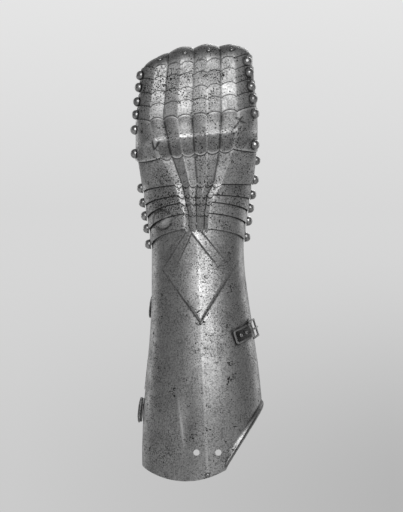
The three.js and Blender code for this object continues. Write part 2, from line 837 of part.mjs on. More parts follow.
const fingerLames = [5, 4, 3, 2].map((lame) => `finger_lame_${lame}`);
const fingerChain = ["knuckle_plate", ...fingerLames, "tip_lame"];
for (let i = 0; i < 5; i++) {
  const name = fingerChain[i + 1];
  const drop = fingerPivotDrop - fingerStep * i;
  setPair(name, fingerChain[i], name, fingerPivots[i], fingerTilt, drop, fingerStep);
}
setPair("knuckle", "knuckle_plate", "hand_plate", handPivot, wristTilt, fingerPivotDrop, fingerStep);
const wristChain = ["hand_plate", "wrist_lame_1", "wrist_lame_2", "wrist_lame_3", "wrist_lame_4", "cuff"];
for (let i = 0; i < 5; i++) {
  const outer = wristChain[i];
  setPair(`wrist_${i + 1}`, outer, wristChain[i + 1], wristPivots[4 - i], wristTilt, 0, wristStep);
}

// Thumb: a scoop under the hand plate, and a tip lame that turns inside it

const thumbRootZ = handPivot - thumbRootDrop;
const handSide = (z) => roundPoint(handSection(z), quarterTurn)[0] - wristStep;
const rootX = Math.min(handSide(thumbRootZ), handSide(heelEdge)) - thumbRadius;
const endX = handSide(handEdge) - thumbTuck - thumbTipRadius;
const thumbRoot = new THREE.Vector3(rootX, -thumbRootForward, thumbRootZ);
const thumbEnd = new THREE.Vector3(endX, thumbReach - thumbRootForward, thumbRootZ + thumbRise);
const thumbLine = new THREE.Line3(thumbRoot, thumbEnd);
const thumbAlong = thumbLine.delta(new THREE.Vector3()).normalize();
const thumbOut = new THREE.Vector3(1, 0, 0).addScaledVector(thumbAlong, -thumbAlong.x).normalize();
const thumbSide = new THREE.Vector3().crossVectors(thumbAlong, thumbOut);

function thumbPoint(angle, share, radius) {
  const place = thumbLine.at(share, new THREE.Vector3());
  place.addScaledVector(thumbOut, radius * Math.cos(angle));
  return place.addScaledVector(thumbSide, radius * Math.sin(angle));
}

const thumbRadiusAt = (share) => lerp(thumbRadius, thumbTipRadius, share);
const thumbBasePoint = (angle, share) => thumbPoint(angle, share, thumbRadiusAt(share));

// The tip lame starts at its tail, inside the scoop, and closes over the thumb's end.
function thumbTipPoint(angle, share) {
  const tail = lerp(thumbPivotShare, thumbTailShare, (angle / degToRad(thumbArc)) ** 4);
  const end = 1 + thumbTipLength / thumbLine.distance();
  const along = lerp(tail, end, share);
  const round = Math.sqrt(1 - (thumbTipCloseShare * smoothstep(share, 0, 1)) ** 3);
  return thumbPoint(angle, along, (thumbRadiusAt(Math.min(1, along)) - fingerStep) * round);
}

const arcAngles = (half, steps) =>
  Array.from({ length: steps + 1 }, (_, i) => degToRad(lerp(-half, half, i / steps)));
solids.thumb_base = sheet(thumbBasePoint, arcAngles(thumbArc, 12), [0, 0.33, 0.66, 1]);
solids.thumb_tip = sheet(thumbTipPoint, arcAngles(thumbArc, 12), [0, 0.2, 0.4, 0.6, 0.8, 0.93, 1]);

function thumbRivetSeat() {
  const { low, high } = edgesAt(plates.hand_plate, thumbRivetLine);
  const share = (handPivot - thumbRivetDrop - low) / (high - low);
  return seatOf((line, along) => platePoint(plates.hand_plate, line, along), thumbRivetLine, share);
}

setRivet("thumb_rivet", thumbRivetSeat(), wristStep, ["hand_plate", "thumb_base"]);
const thumbSides = { front: -1, back: 1 };
for (const [side, sign] of Object.entries(thumbSides)) {
  const seat = seatOf(thumbBasePoint, sign * degToRad(thumbPivotArc), thumbPivotShare);
  setRivet(`thumb_tip_rivet_${side}`, seat, plateThickness + fingerStep, ["thumb_base", "thumb_tip"], true);
}

// Hinges

const hingeBore = hingePinRadius + clearance;

// A block given by its two corners.
function block(low, high) {
  const size = high.map((value, i) => value - low[i]);
  const geometry = new THREE.BoxGeometry(...size);
  geometry.translate(...low.map((value, i) => value + size[i] / 2));
  return solidOf(geometry);
}

function rod(radius, from, to, sides = 16) {
  const profile = [
    [0, from],
    [radius, from],
    [radius, to],
    [0, to],
  ];
  return turned(profile, new THREE.Vector3(), new THREE.Vector3(0, 0, 1), sides);
}

// In a hinge's own frame the pin lies on Z, +X points outwards and +Y to the cuff.
function hingeLeaf(length, onCuff) {
  const half = length / 2;
  const quarter = length / 4;
  const sign = onCuff ? 1 : -1;
  const under = -hingeKnuckleRadius - (onCuff ? palmStep : 0);
  const start = onCuff ? 0 : hingeKnuckleRadius + clearance;
  const leafSpan = [sign * start, sign * (start + hingeLeafWidth)].sort((a, b) => a - b);
  const leaf = block([under, leafSpan[0], -half], [under + hingeLeafThickness, leafSpan[1], half]);
  const middle = [[-quarter, quarter]];
  const ends = [[-half, -quarter - clearance], [quarter + clearance, half]];
  let solid = leaf;
  for (const [low, high] of onCuff ? ends : middle) {
    const webSpan = [0, sign * (start + hingeLeafThickness)].sort((a, b) => a - b);
    solid = solid.add(rod(hingeKnuckleRadius, low, high));
    solid = solid.add(block([under, webSpan[0], low], [0, webSpan[1], high]));
  }
  return solid.subtract(rod(hingeBore, -length, length));
}

function hingePin(length) {
  const head = hingeKnuckleRadius * 0.8;
  const half = length / 2 + clearance;
  const profile = [
    [0, -half - hingeLeafThickness],
    [head, -half - hingeLeafThickness],
    [head, -half],
    [hingePinRadius, -half],
    [hingePinRadius, half],
    [head, half],
    [head, half + hingeLeafThickness],
    [0, half + hingeLeafThickness],
  ];
  return turned(profile, new THREE.Vector3(), new THREE.Vector3(0, 0, 1), 12);
}

function frameAt(place, xAxis, zAxis) {
  const y = new THREE.Vector3().crossVectors(zAxis, xAxis).normalize();
  const x = new THREE.Vector3().crossVectors(y, zAxis).normalize();
  return new THREE.Matrix4().makeBasis(x, y, zAxis).setPosition(place);
}

hingePlaces.forEach(({ place, direction }, i) => {
  const name = ["lower_hinge", "upper_hinge"][i];
  const frame = frameAt(place, direction, hingeAxis);
  solids[`${name}_cuff_leaf`] = moved(hingeLeaf(hingeLengths[i], true), frame);
  solids[`${name}_palm_leaf`] = moved(hingeLeaf(hingeLengths[i], false), frame);
  solids[`${name}_pin`] = moved(hingePin(hingeLengths[i]), frame);
});

// Buckle: in its own frame +X runs along the strap to the right, +Z stands off the cuff

const cuffSurface = (angle, z) => armPoint(z, angle);
const buckleSeat = seatOf(cuffSurface, degToRad(buckleAngle), buckleHeight);
const besideSeat = armPoint(buckleHeight, degToRad(buckleAngle) + normalStep);
const acrossCuff = besideSeat.sub(buckleSeat.place).normalize();
const buckleX = acrossCuff.applyAxisAngle(buckleSeat.direction, degToRad(buckleTilt));
const buckleFrame = frameAt(buckleSeat.place, buckleX, buckleSeat.direction);
const barX = chapeLength / 2 + buckleBar / 2;
const barZ = clearance + chapeThickness / 2;
const eyeBore = buckleBar / Math.SQRT2 + clearance;
const eyeRadius = eyeBore + buckleEyeWall;
const fallFrame = new THREE.Matrix4()
  .makeRotationY(degToRad(buckleFall))
  .setPosition(barX, 0, barZ)
  .premultiply(buckleFrame);

// A rod along the buckle's bar.
function barRod(radius, halfWidth) {
  return moved(rod(radius, -halfWidth, halfWidth), new THREE.Matrix4().makeRotationX(quarterTurn));
}

function chape() {
  const half = chapeWidth / 2;
  const top = clearance + chapeThickness;
  const shift = new THREE.Matrix4().makeTranslation(barX, 0, barZ);
  const field = half - chapeRim;
  const recessStart = [chapeRim - chapeLength / 2, -field, top - chapeRecess];
  const recess = block(recessStart, [barX, field, top + cutOverrun]);
  let solid = block([-chapeLength / 2, -half, clearance], [barX, half, top]).subtract(recess);
  solid = solid.add(moved(barRod(eyeRadius, half), shift));
  solid = solid.subtract(moved(barRod(eyeBore, chapeWidth), shift));
  const slot = tongueWidth / 2 + clearance;
  const slotStart = barX - eyeRadius - clearance;
  return solid.subtract(block([slotStart, -slot, -chapeWidth], [chapeLength, slot, chapeWidth]));
}

function buckleLoop() {
  const inner = chapeWidth / 2 + clearance;
  const outer = inner + buckleRim;
  const thick = buckleBar / 2;
  const rim = block([-thick, -outer, -thick], [buckleReach, outer, thick]);
  return rim.subtract(block([thick, -inner, -buckleBar], [buckleReach - buckleRim, inner, buckleBar]));
}

function tongue() {
  const half = tongueWidth / 2;
  const low = buckleBar / 2 + clearance;
  const eye = barRod(eyeRadius, half).subtract(barRod(eyeBore, tongueWidth));
  const tip = buckleReach + buckleRim / 4;
  return eye.add(block([eyeBore, -half, low], [tip, half, low + tongueThickness]));
}

solids.buckle_chape = moved(chape(), buckleFrame);
solids.buckle_loop = moved(buckleLoop(), fallFrame);
solids.buckle_tongue = moved(tongue(), fallFrame);
const chapeTop = clearance + chapeThickness - chapeRecess;
chapeRivetShares.forEach((share, i) => {
  const place = new THREE.Vector3(share * chapeLength, 0, chapeTop).applyMatrix4(buckleFrame);
  const seat = { place, direction: buckleSeat.direction };
  setRivet(`chape_rivet_${i + 1}`, seat, chapeTop + plateThickness, ["buckle_chape", "cuff"], true);
});
const liningAngle = degToRad(buckleAngle) + liningRivetAside / cuffSection(liningRivetHeight).right.width;
const liningSeat = seatOf(cuffSurface, liningAngle, liningRivetHeight);
setRivet("lining_rivet", liningSeat, plateThickness, ["cuff"], true);
setRivet("edge_rivet", seatOf(cuffSurface, 0, edgeRivetHeight), plateThickness, ["cuff"], true);

// Strap: riveted to the palm plate, hanging straight down it while it is undone

const strapHalfAngle = strapWidth / 2 / cuffHeight;
const strapOut = palmStep + clearance + strapThickness;
const strapPoint = (angle, z) => armPoint(z, angle, strapOut);
const strapAngles = [-1, -0.33, 0.33, 1].map((share) => degToRad(strapAngle) + share * strapHalfAngle);
const strapRows = [0, 0.25, 0.5, 0.75, 1].map((share) => strapTop - strapLength * (1 - share));
solids.strap = sheet(strapPoint, strapAngles, strapRows, strapThickness);
const strapSeat = seatOf(strapPoint, degToRad(strapAngle), strapTop - strapRivetInset);
const strapGrip = strapThickness + clearance + plateThickness;
setRivet("strap_rivet", strapSeat, strapGrip, ["strap", "palm_plate"], true);

tipRivetLines.forEach((line, i) => {
  const seat = seatOf(tipPoint, line, tipRivetShare);
  setRivet(`tip_small_rivet_${i + 1}`, seat, plateThickness, ["tip_lame"], true);
});

function finishOf(name) {
  if (name === "strap") return leather;
  return name.includes("hinge") || name.startsWith("buckle") ? darkSteel : steel;
}

for (const [name, solid] of Object.entries(solids)) addMesh(name, solid, finishOf(name));
for (const [name, solid] of Object.entries(rivets)) addMesh(name, solid, steel);

export default gauntlet;
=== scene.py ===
# A left-hand mitten gauntlet of plain steel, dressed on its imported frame. Metres, +Z from the
# elbow to the fingertips, -Y out of the back of the hand and +X to the thumb.
import json
from contextlib import contextmanager
from functools import partial
from math import asin, atan, cos, exp, floor, pi, radians, sin, sqrt

import bpy
import numpy as np
from mathutils import Matrix, Vector, noise


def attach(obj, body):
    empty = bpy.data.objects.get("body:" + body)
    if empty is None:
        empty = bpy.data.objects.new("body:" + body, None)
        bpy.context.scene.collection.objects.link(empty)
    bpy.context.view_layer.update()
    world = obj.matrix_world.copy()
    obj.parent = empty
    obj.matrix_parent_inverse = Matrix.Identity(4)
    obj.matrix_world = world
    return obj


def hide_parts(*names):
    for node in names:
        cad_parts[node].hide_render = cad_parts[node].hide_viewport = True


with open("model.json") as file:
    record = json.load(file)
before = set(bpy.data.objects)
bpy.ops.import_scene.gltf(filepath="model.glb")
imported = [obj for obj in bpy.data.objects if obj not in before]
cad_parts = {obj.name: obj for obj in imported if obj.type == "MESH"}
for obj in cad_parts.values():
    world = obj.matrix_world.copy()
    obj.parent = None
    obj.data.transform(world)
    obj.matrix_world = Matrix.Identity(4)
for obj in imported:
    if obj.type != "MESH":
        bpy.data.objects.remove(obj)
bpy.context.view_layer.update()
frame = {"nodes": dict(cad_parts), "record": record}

# Cuff
# One sheet of steel from the wrist to the elbow, raised to a ridge down the back and embossed
# with a lozenge below the wrist. The elbow end is cut on a slant, and that edge is rolled.
mm = 0.001
plate_thickness = 0.9 * mm
edge_round = 0.28 * mm
wrist_step = 2 * mm
cuff_length = 240.9 * mm
wrist_middle = -0.5 * mm
wrist_half_width = 57.1 * mm
wrist_height = 47 * mm
wrist_squareness = 2.1
cuff_drift = 10.3 * mm
cuff_left_width = 57.5 * mm
cuff_right_width = 65.6 * mm
cuff_height = 50.5 * mm
cuff_palm_wrist = 36 * mm
cuff_palm_elbow = 48 * mm
cuff_left_angle = radians(-125)
cuff_right_angle = radians(112)
ridge_rise = 1.5 * mm
ridge_spread = 0.14
elbow_arc_radius = 82 * mm
elbow_arc_middle = -15 * mm
elbow_cut_start = 27.2 * mm
elbow_cut_slope = 1.53
cut_blend = radians(2)
roll_width = 8 * mm
roll_height = 1.8 * mm
cuff_ear = 5 * mm
cuff_head_rise = 17.6 * mm
wrist_tilt = 0.075
palm_plate_top = 199.5 * mm
lace_hole_radius = 3.1 * mm
lace_hole_height = 29 * mm
lace_hole_places = [-1.5 * mm, 20.3 * mm]
dent_size = 28 * mm
dent_depth = 0.22 * mm
fine_dents = 2.7
fine_share = 0.4
large_hole = 2.1 * mm
small_hole = 1 * mm
hole_reach = 7 * mm
# Painted shade round each rivet, as its head would cast.
rivet_shade = 0.8
rivet_shade_reach = 3.3
both_sides = ("left", "right")
tip_small_rivets = [f"tip_small_rivet_{i}" for i in (1, 2, 3, 4)]
thumb_pins = [f"thumb_tip_rivet_{side}" for side in ("front", "back")]
small_rivets = [*tip_small_rivets, *thumb_pins, "chape_rivet_1", "chape_rivet_2"]
small_rivets += ["lining_rivet", "edge_rivet", "strap_rivet"]


def lerp(a, b, share):
    return a + (b - a) * share


def clamp(value, low=0.0, high=1.0):
    return min(high, max(low, value))


def smooth(value, low, high):
    share = clamp((value - low) / (high - low))
    return share * share * (3 - 2 * share)


def fading(value, start, end):
    """1 up to the start, dying away to 0 at the end."""
    return 1 - smooth(value, start, end)


def inset(section, by):
    """A cross-section drawn in all round. A side is its width, its depth and its squareness."""
    drawn_in = {"crown": section["crown"] + by, "palm": section["palm"] - by}
    for side in both_sides:
        width, depth, square = section[side]
        drawn_in[side] = (width - by, depth - by, square)
    return {**section, **drawn_in}


def blended(a, b, share):
    section = {key: lerp(a[key], b[key], share) for key in ("middle", "crown", "palm")}
    for side in both_sides:
        section[side] = tuple(lerp(p, q, share) for p, q in zip(a[side], b[side]))
    return section


def round_point(section, angle):
    """The x and y of a cross-section at an angle from its crown, negative to the left."""
    width, depth, square = section["left" if angle < 0 else "right"]
    across = width * abs(sin(angle)) ** (2 / square)
    down = depth * (1 - abs(cos(angle)) ** (2 / square))
    return section["middle"] + (across if angle > 0 else -across), section["crown"] + down


def cuff_section(z):
    share = (cuff_length - z) / cuff_length
    middle = wrist_middle + cuff_drift * max(0, share)
    wrist_width = wrist_half_width - wrist_step * 5
    left = lerp(wrist_width - wrist_middle, cuff_left_width, smooth(share, 0.2, 0.9)) + middle
    right = lerp(wrist_width + wrist_middle, cuff_right_width, smooth(share, 0, 0.75)) - middle
    height = lerp(wrist_height - wrist_step * 5, cuff_height, smooth(share, -0.05, 0.75))
    palm = lerp(cuff_palm_wrist, cuff_palm_elbow, smooth(share, 0, 0.8))
    sides = {"left": (left, height, wrist_squareness), "right": (right, height, wrist_squareness)}
    return {"middle": middle, "crown": -height, "palm": palm, **sides}


def arm_point(z, angle, outward=0.0):
    section = inset(cuff_section(z), -outward)
    x, y = round_point(section, angle)
    if abs(angle) > pi / 2:
        side = section["left" if angle < 0 else "right"]
        y = section["crown"] + side[1] + section["palm"] * abs(cos(angle)) ** (2 / side[2])
    return Vector((x, y, z))


def edge_height(edge, x, angle):
    """An edge's height, from its middle's height and slope and the heights of its two sides."""
    aside = 1 - cos(clamp(angle, -pi / 2, pi / 2))
    return lerp(edge["middle"] + edge["tilt"] * x, edge["left" if angle < 0 else "right"], aside)


elbow_section = cuff_section(0)
cuff_corner = asin((elbow_cut_start - elbow_section["middle"]) / elbow_section["right"][0])
cuff_head = {
    "middle": cuff_length + cuff_head_rise,
    "tilt": 0,
    "left": cuff_length + wrist_tilt * (wrist_middle - wrist_half_width) + cuff_ear,
    "right": cuff_length + wrist_tilt * (wrist_middle + wrist_half_width) + cuff_ear,
}


def elbow_edge(angle):
    x = round_point(elbow_section, clamp(angle, -pi / 2, pi / 2))[0]
    if angle <= cuff_corner:
        return (x - elbow_arc_middle) ** 2 / (2 * elbow_arc_radius)
    start = (elbow_cut_start - elbow_arc_middle) ** 2 / (2 * elbow_arc_radius)
    return start + (x - elbow_cut_start) * elbow_cut_slope


# The lozenge, in x and z. Its surface stands proud inside the two lower sides, and each upper
# side is a pair of lines that rise sharply and die away outwards.
lozenge_top = (-5 * mm, 259.7 * mm)
lozenge_left = (-36 * mm, 211.5 * mm)
lozenge_right = (35.3 * mm, 211 * mm)
lozenge_bottom = (2.4 * mm, 157.5 * mm)
inner_top = (-6.4 * mm, 247.7 * mm)
inner_left = (-24 * mm, 209 * mm)
inner_right = (27 * mm, 205.5 * mm)
upper_lines = [(lozenge_left, lozenge_top, lozenge_right), (inner_left, inner_top, inner_right)]
lozenge_step = 1.4 * mm
lozenge_slope = 2.6 * mm
lozenge_fade = (178 * mm, 232 * mm)
line_rise = 0.7 * mm
line_width = 1.1 * mm
line_fall = 6.5 * mm
line_fade = 9 * mm
line_shade = 0.75


def beyond(a, b, x, z):
    """How far a place lies on the left hand of the line from a to b."""
    along = (b[0] - a[0], b[1] - a[1])
    return (along[0] * (z - a[1]) - along[1] * (x - a[0])) / sqrt(along[0] ** 2 + along[1] ** 2)


def inside_lower(x, z):
    """How far a place lies inside the lozenge's two lower sides."""
    left = beyond(lozenge_bottom, lozenge_left, x, z)
    right = beyond(lozenge_right, lozenge_bottom, x, z)
    return -max(left, right)


def upper_line(corners, x, z):
    """How far a place lies outside an upper line, and how strong the line is at its height."""
    left, top, right = corners
    distance = max(beyond(left, top, x, z), beyond(top, right, x, z))
    return distance, smooth(z, left[1] - line_fade / 2, left[1] + line_fade)


def lozenge(x, z):
    height = lozenge_step * smooth(inside_lower(x, z), 0, lozenge_slope) * fading(z, *lozenge_fade)
    for corners in upper_lines:
        distance, strength = upper_line(corners, x, z)
        rise = smooth(distance, -line_width / 2, line_width / 2)
        height += line_rise * rise * fading(distance, line_width / 2, line_fall) * strength
    return height


def lozenge_shade(x, z):
    """Painted shade along the foot of the lozenge's sides and of its upper lines."""
    foot = fading(abs(inside_lower(x, z)), line_width * 0.3, line_width * 1.4)
    darkening = foot * fading(z, *lozenge_fade)
    for corners in upper_lines:
        distance, strength = upper_line(corners, x, z)
        darkening += fading(abs(distance), line_width * 0.2, line_width * 1.2) * strength
    return -line_shade * min(1, darkening)


def ridge(z, angle):
    growth = lerp(0.3, 1, smooth(cuff_length - z, cuff_length / 3, cuff_length))
    return ridge_rise * growth * (abs(cos(angle)) ** 16 + exp(-abs(angle) / ridge_spread)) / 2


# A long shallow dent, beaten in near the elbow.
hollow_middle = (-10.5 * mm, 60 * mm)
hollow_reach = (6.5 * mm, 24 * mm)
hollow_depth = 1.5 * mm
hollow_lean = 0.12
brink_highlight = 0.9


def hollow(x, z):
    across = (x - hollow_middle[0]) / hollow_reach[0]
    along = (z - hollow_middle[1]) / hollow_reach[1]
    return hollow_depth * exp(-(across**2 + along**2))


def hollow_highlight(x, z):
    """A painted highlight along the hollow's left brink."""
    brink = hollow_middle[0] - hollow_reach[0] + (hollow_middle[1] - z) * hollow_lean
    along = (z - hollow_middle[1]) / hollow_reach[1]
    return brink_highlight * exp(-(((x - brink) / line_width) ** 2)) * exp(-(along**4))


def cuff_point(angle, share):
    low = elbow_edge(angle)
    z = lerp(low, edge_height(cuff_head, 0, angle), share)
    from_edge = (z - low) / roll_width
    on_cut = smooth(angle, cuff_corner - cut_blend, cuff_corner)
    roll = roll_height * sqrt(clamp(1 - (from_edge * 2 - 1) ** 2)) if 0 <= from_edge < 1 else 0
    place = arm_point(z, angle, roll * on_cut)
    if abs(angle) < pi / 2:
        place.y -= ridge(z, angle) + lozenge(place.x, z) * cos(angle) - hollow(place.x, z)
    return place


# Both hinge pins lie on one line outside the joint between the cuff and its palm plate, which
# runs under that line from the side of the elbow round to the palm side of the wrist.
finger_gap = 0.4 * mm
clearance = 0.3 * mm
palm_step = plate_thickness + finger_gap
hinge_heights = [67 * mm, 172 * mm]
hinge_angles = [radians(-92), radians(-110)]
knuckle_radius = 2.1 * mm
normal_step = 0.01


def normal_at(point, across, along):
    run = point(across + normal_step, along) - point(across - normal_step, along)
    climb = point(across, along + normal_step * mm) - point(across, along - normal_step * mm)
    return run.cross(climb).normalized()


def hinge_place(angle, z):
    """The middle of a hinge pin, and the way out of the arm there."""
    out = normal_at(lambda across, along: arm_point(along, across, palm_step), angle, z)
    return arm_point(z, angle, palm_step) + out * (clearance + knuckle_radius), out


hinge_places = [hinge_place(*at) for at in zip(hinge_angles, hinge_heights)]
lower_pin, upper_pin = (pin for pin, _ in hinge_places)
hinge_axis = (upper_pin - lower_pin).normalized()


def added(name, primitive, **settings):
    """Adds a primitive as the one selected object, and applies its place, turn and size."""
    bpy.ops.object.select_all(action="DESELECT")
    primitive(**settings)
    piece = bpy.context.object
    piece.name = name
    bpy.ops.object.transform_apply(location=True, rotation=True, scale=True)
    return piece


def cube(name, **settings):
    return added(name, bpy.ops.mesh.primitive_cube_add, size=1, **settings)


def rod(name, vertices, radius, depth, **settings):
    settings |= {"vertices": vertices, "radius": radius, "depth": depth}
    return added(name, bpy.ops.mesh.primitive_cylinder_add, **settings)


def beside_joint(distance):
    """A block along the joint, whose middle lies a distance to the palm side of it."""
    slant = (upper_pin.y - lower_pin.y) / (upper_pin.z - lower_pin.z)
    size = Matrix.Diagonal((cuff_left_width, cuff_palm_elbow, palm_plate_top * 3, 1))
    turn = Matrix.Rotation(-atan(slant), 4, "X")
    turn = turn @ Matrix.Translation((-cuff_left_width, distance, 0))
    foot = Matrix.Translation((0, lower_pin.y - lower_pin.z * slant, 0))
    piece = cube("joint_side")
    piece.data.transform(foot @ turn @ size)
    return piece


def stood(place, x, z):
    """The matrix that stands a piece at a place by its own X and Z."""
    y = z.cross(x).normalized()
    return Matrix.Translation(place) @ Matrix((y.cross(z), y, z)).transposed().to_4x4()


# The buckle's plate lies on the thumb side, turned a little, and a shadow is painted round it.
buckle_height = 146 * mm
buckle_angle = radians(50)
buckle_tilt = radians(17)
chape_length = 25 * mm
chape_width = 14.5 * mm
buckle_shadow_width = 1.8 * mm


def on_cuff(angle, z):
    return arm_point(z, angle)


buckle_place = on_cuff(buckle_angle, buckle_height)
buckle_out = normal_at(on_cuff, buckle_angle, buckle_height)
beside = (on_cuff(buckle_angle + normal_step, buckle_height) - buckle_place).normalized()
buckle_stand = stood(buckle_place, Matrix.Rotation(buckle_tilt, 3, buckle_out) @ beside, buckle_out)
buckle_view = buckle_stand.inverted()


# A painted shadow round the buckle's plate, full under it and fading out beyond its edge.
def buckle_shadow(place):
    local = buckle_view @ place
    if abs(local.z) > chape_width:
        return 0
    outside = max(abs(local.x) - chape_length / 2, abs(local.y) - chape_width / 2)
    return smooth(outside, 0, buckle_shadow_width) - 1


def steps(*stops):
    """Values through (value, count) stops, a count being the steps up to the next value."""
    values = [stops[0][0]]
    for (start, count), (end, _) in zip(stops, stops[1:]):
        values += [lerp(start, end, (i + 1) / count) for i in range(count)]
    return values


def shares(count):
    return steps((0.0, count), (1.0, 0))


def dented(piece):
    """Moves each point of a sheet a little off its true place, as a hammered plate is."""
    piece.data.update()
    offsets = []
    for vertex in piece.data.vertices:
        broad = noise.noise(vertex.co / dent_size)
        fine = noise.noise(vertex.co / dent_size * fine_dents + Vector((3, 7, 1)))
        offsets.append(vertex.normal * dent_depth * (broad + fine_share * fine))
    for vertex, offset in zip(piece.data.vertices, offsets):
        vertex.co += offset


def apply(piece, kind, **settings):
    """Adds a modifier and applies it."""
    bpy.context.view_layer.objects.active = piece
    modifier = piece.modifiers.new(kind.title(), kind)
    for key, value in settings.items():
        setattr(modifier, key, value)
    bpy.ops.object.modifier_apply(modifier=modifier.name)


def eased(piece, width, segments, degrees=50):
    """Rounds the sharp edges of a piece."""
    angle = radians(degrees)
    apply(piece, "BEVEL", width=width, segments=segments, limit_method="ANGLE", angle_limit=angle)


def shaded(piece, degrees):
    bpy.ops.object.select_all(action="DESELECT")
    piece.select_set(True)
    bpy.context.view_layer.objects.active = piece
    bpy.ops.object.shade_smooth_by_angle(angle=radians(degrees))


def combine(piece, other, operation):
    """Cuts another solid out of a piece, or joins it on, and takes the other away."""
    apply(piece, "BOOLEAN", operation=operation, solver="EXACT", object=other)
    bpy.data.objects.remove(other)


@contextmanager
def editing(piece, wanted=None, parts="polygons"):
    """Edit mode on a piece, with all of it or just the wanted ones of its parts selected."""
    bpy.context.view_layer.objects.active = piece
    kinds = (False, parts == "edges", parts == "polygons")
    bpy.context.tool_settings.mesh_select_mode = kinds
    bpy.ops.object.mode_set(mode="EDIT")
    bpy.ops.mesh.select_all(action="DESELECT" if wanted else "SELECT")
    if wanted:
        bpy.ops.object.mode_set(mode="OBJECT")
        for part in getattr(piece.data, parts):
            part.select = wanted(part)
        bpy.ops.object.mode_set(mode="EDIT")
    yield
    bpy.ops.object.mode_set(mode="OBJECT")


def rivet_axis(node):
    """A rivet's seat, the way its head faces and how far its tail reaches, from its CAD node."""
    points = np.array([vertex.co for vertex in frame["nodes"][node].data.vertices])
    points = np.unique(points.round(6), axis=0)
    middle = points.mean(axis=0)
    spread, axes = np.linalg.eigh(np.cov((points - middle).T))
    odd = 2 if spread[1] - spread[0] < spread[2] - spread[1] else 0
    axis = axes[:, odd]
    along = (points - middle) @ axis
    away = np.linalg.norm(points - middle - np.outer(along, axis), axis=1)
    rim = along[away > 0.97 * away.max()].mean()
    crown = along[(away > 0.85 * away.max()) & (away < 0.97 * away.max())].mean()
    facing = 1 if crown > rim else -1
    reach = rim - along.min() if facing > 0 else along.max() - rim
    return Vector(middle + axis * rim), Vector(axis * facing), reach


def unmarked(across, along, place):
    return 0.0


def sheet(
    name, point, columns, rows, rivets=(), thickness=plate_thickness, rim=edge_round, wear_and_light=unmarked
):
    """A formed plate: a flat grid laid on point(across, along), and pierced for its rivets.

    Its wear attribute runs from 1, for rubbed wear and painted highlights,
    to -1, for dirt and painted shade."""
    across, along = len(columns) - 1, len(rows) - 1
    grid = bpy.ops.mesh.primitive_grid_add
    piece = added(name, grid, x_subdivisions=across, y_subdivisions=along, size=1)
    holes = []
    for node in rivets:
        place, direction, _ = rivet_axis(node)
        holes.append((place, direction, small_hole if node in small_rivets else large_hole))
    worn_and_lit = piece.data.attributes.new("wear_and_light", "FLOAT", "POINT")
    for i, vertex in enumerate(piece.data.vertices):
        at = columns[round((vertex.co.x + 0.5) * across)], rows[round((vertex.co.y + 0.5) * along)]
        vertex.co = point(*at)
        worn_and_lit.data[i].value = wear_and_light(*at, vertex.co)
        # Painted shade round each rivet hole, where the rivet head shades the plate.
        for place, _, radius in holes:
            reach = radius * rivet_shade_reach
            away = (vertex.co - place).length
            worn_and_lit.data[i].value -= rivet_shade * fading(away, reach * 0.7, reach)
    dented(piece)

    def pierced(face):
        for place, direction, radius in holes:
            off = face.center - place
            if off.length < hole_reach and off.cross(direction).length < radius:
                return True
        return False

    if holes:
        with editing(piece, pierced):
            bpy.ops.mesh.delete(type="FACE")
    apply(piece, "SOLIDIFY", thickness=thickness, offset=-1, use_even_offset=False)
    eased(piece, rim, 2, 60)
    shaded(piece, 40)
    return piece


# The steel is eaten by small dark pits of several sizes, with fine scratches between them. Its
# wear attribute brightens it where it is rubbed and where highlights are painted, and darkens it
# with dirt and with shade painted into its creases, under lapping edges and round its rivets.
steel_grey = (0.455, 0.455, 0.455)
worn_and_lit_grey = (0.75, 0.75, 0.75)
stained_grey = (0.19, 0.19, 0.19)
pit_grey = (0.03, 0.03, 0.03)
dirt_and_shade_grey = (0.045, 0.045, 0.045)
steel_roughness = 0.45
speck_spacing = 1.5 * mm
pit_spacing = 3 * mm
blot_spacing = 1.3 * mm
pit_wander = 1.6 * mm
stain_size = 17 * mm
scratch_length = 9 * mm
scratch_width = 0.35 * mm
bump_height = 0.15 * mm
spot_chance = 0.22
speck_range, speck_size, speck_depth = (0.32, 0.72), 0.5, 0.72
pit_range, pit_size, pit_depth = (0.4, 0.82), 0.27, 0.9
blot_range, blot_size = (0.72, 0.9), 1.0
scratch_range = (0.66, 0.74)
scratch_turns = (0.5, 0.3)
grain_range = (0.3, 0.7)
cloud_range = (0.56, 0.86)
scratch_shine = 0.3
rubbed_and_lit_shine = 0.85
dirt_and_shade_cover = 0.9


def fresh_material(name):
    """A new material, its node tree and its shader's inputs."""
    material = bpy.data.materials.new(name)
    material.use_nodes = True
    return material, material.node_tree, material.node_tree.nodes["Principled BSDF"].inputs


def feed(tree, sockets, values):
    """Gives each input its value, or links it from its output."""
    for key, value in values.items():
        if isinstance(value, bpy.types.NodeSocket):
            tree.links.new(value, sockets[key])
        else:
            sockets[key].default_value = value


def wired(tree, kind, output, values, **settings):
    """Adds a shader node, feeds its inputs and returns one of its outputs."""
    node = tree.nodes.new("ShaderNode" + kind)
    for key, value in settings.items():
        setattr(node, key, value)
    feed(tree, node.inputs, values)
    return node.outputs[output]


def ramped(tree, value, low, high, start=0.0, end=1.0, **settings):
    values = {"Value": value, "From Min": low, "From Max": high, "To Min": start, "To Max": end}
    return wired(tree, "MapRange", "Result", values, **settings)


def bumped(tree, height, strength):
    values = {"Height": height, "Strength": strength, "Distance": bump_height}
    return wired(tree, "Bump", "Normal", values)


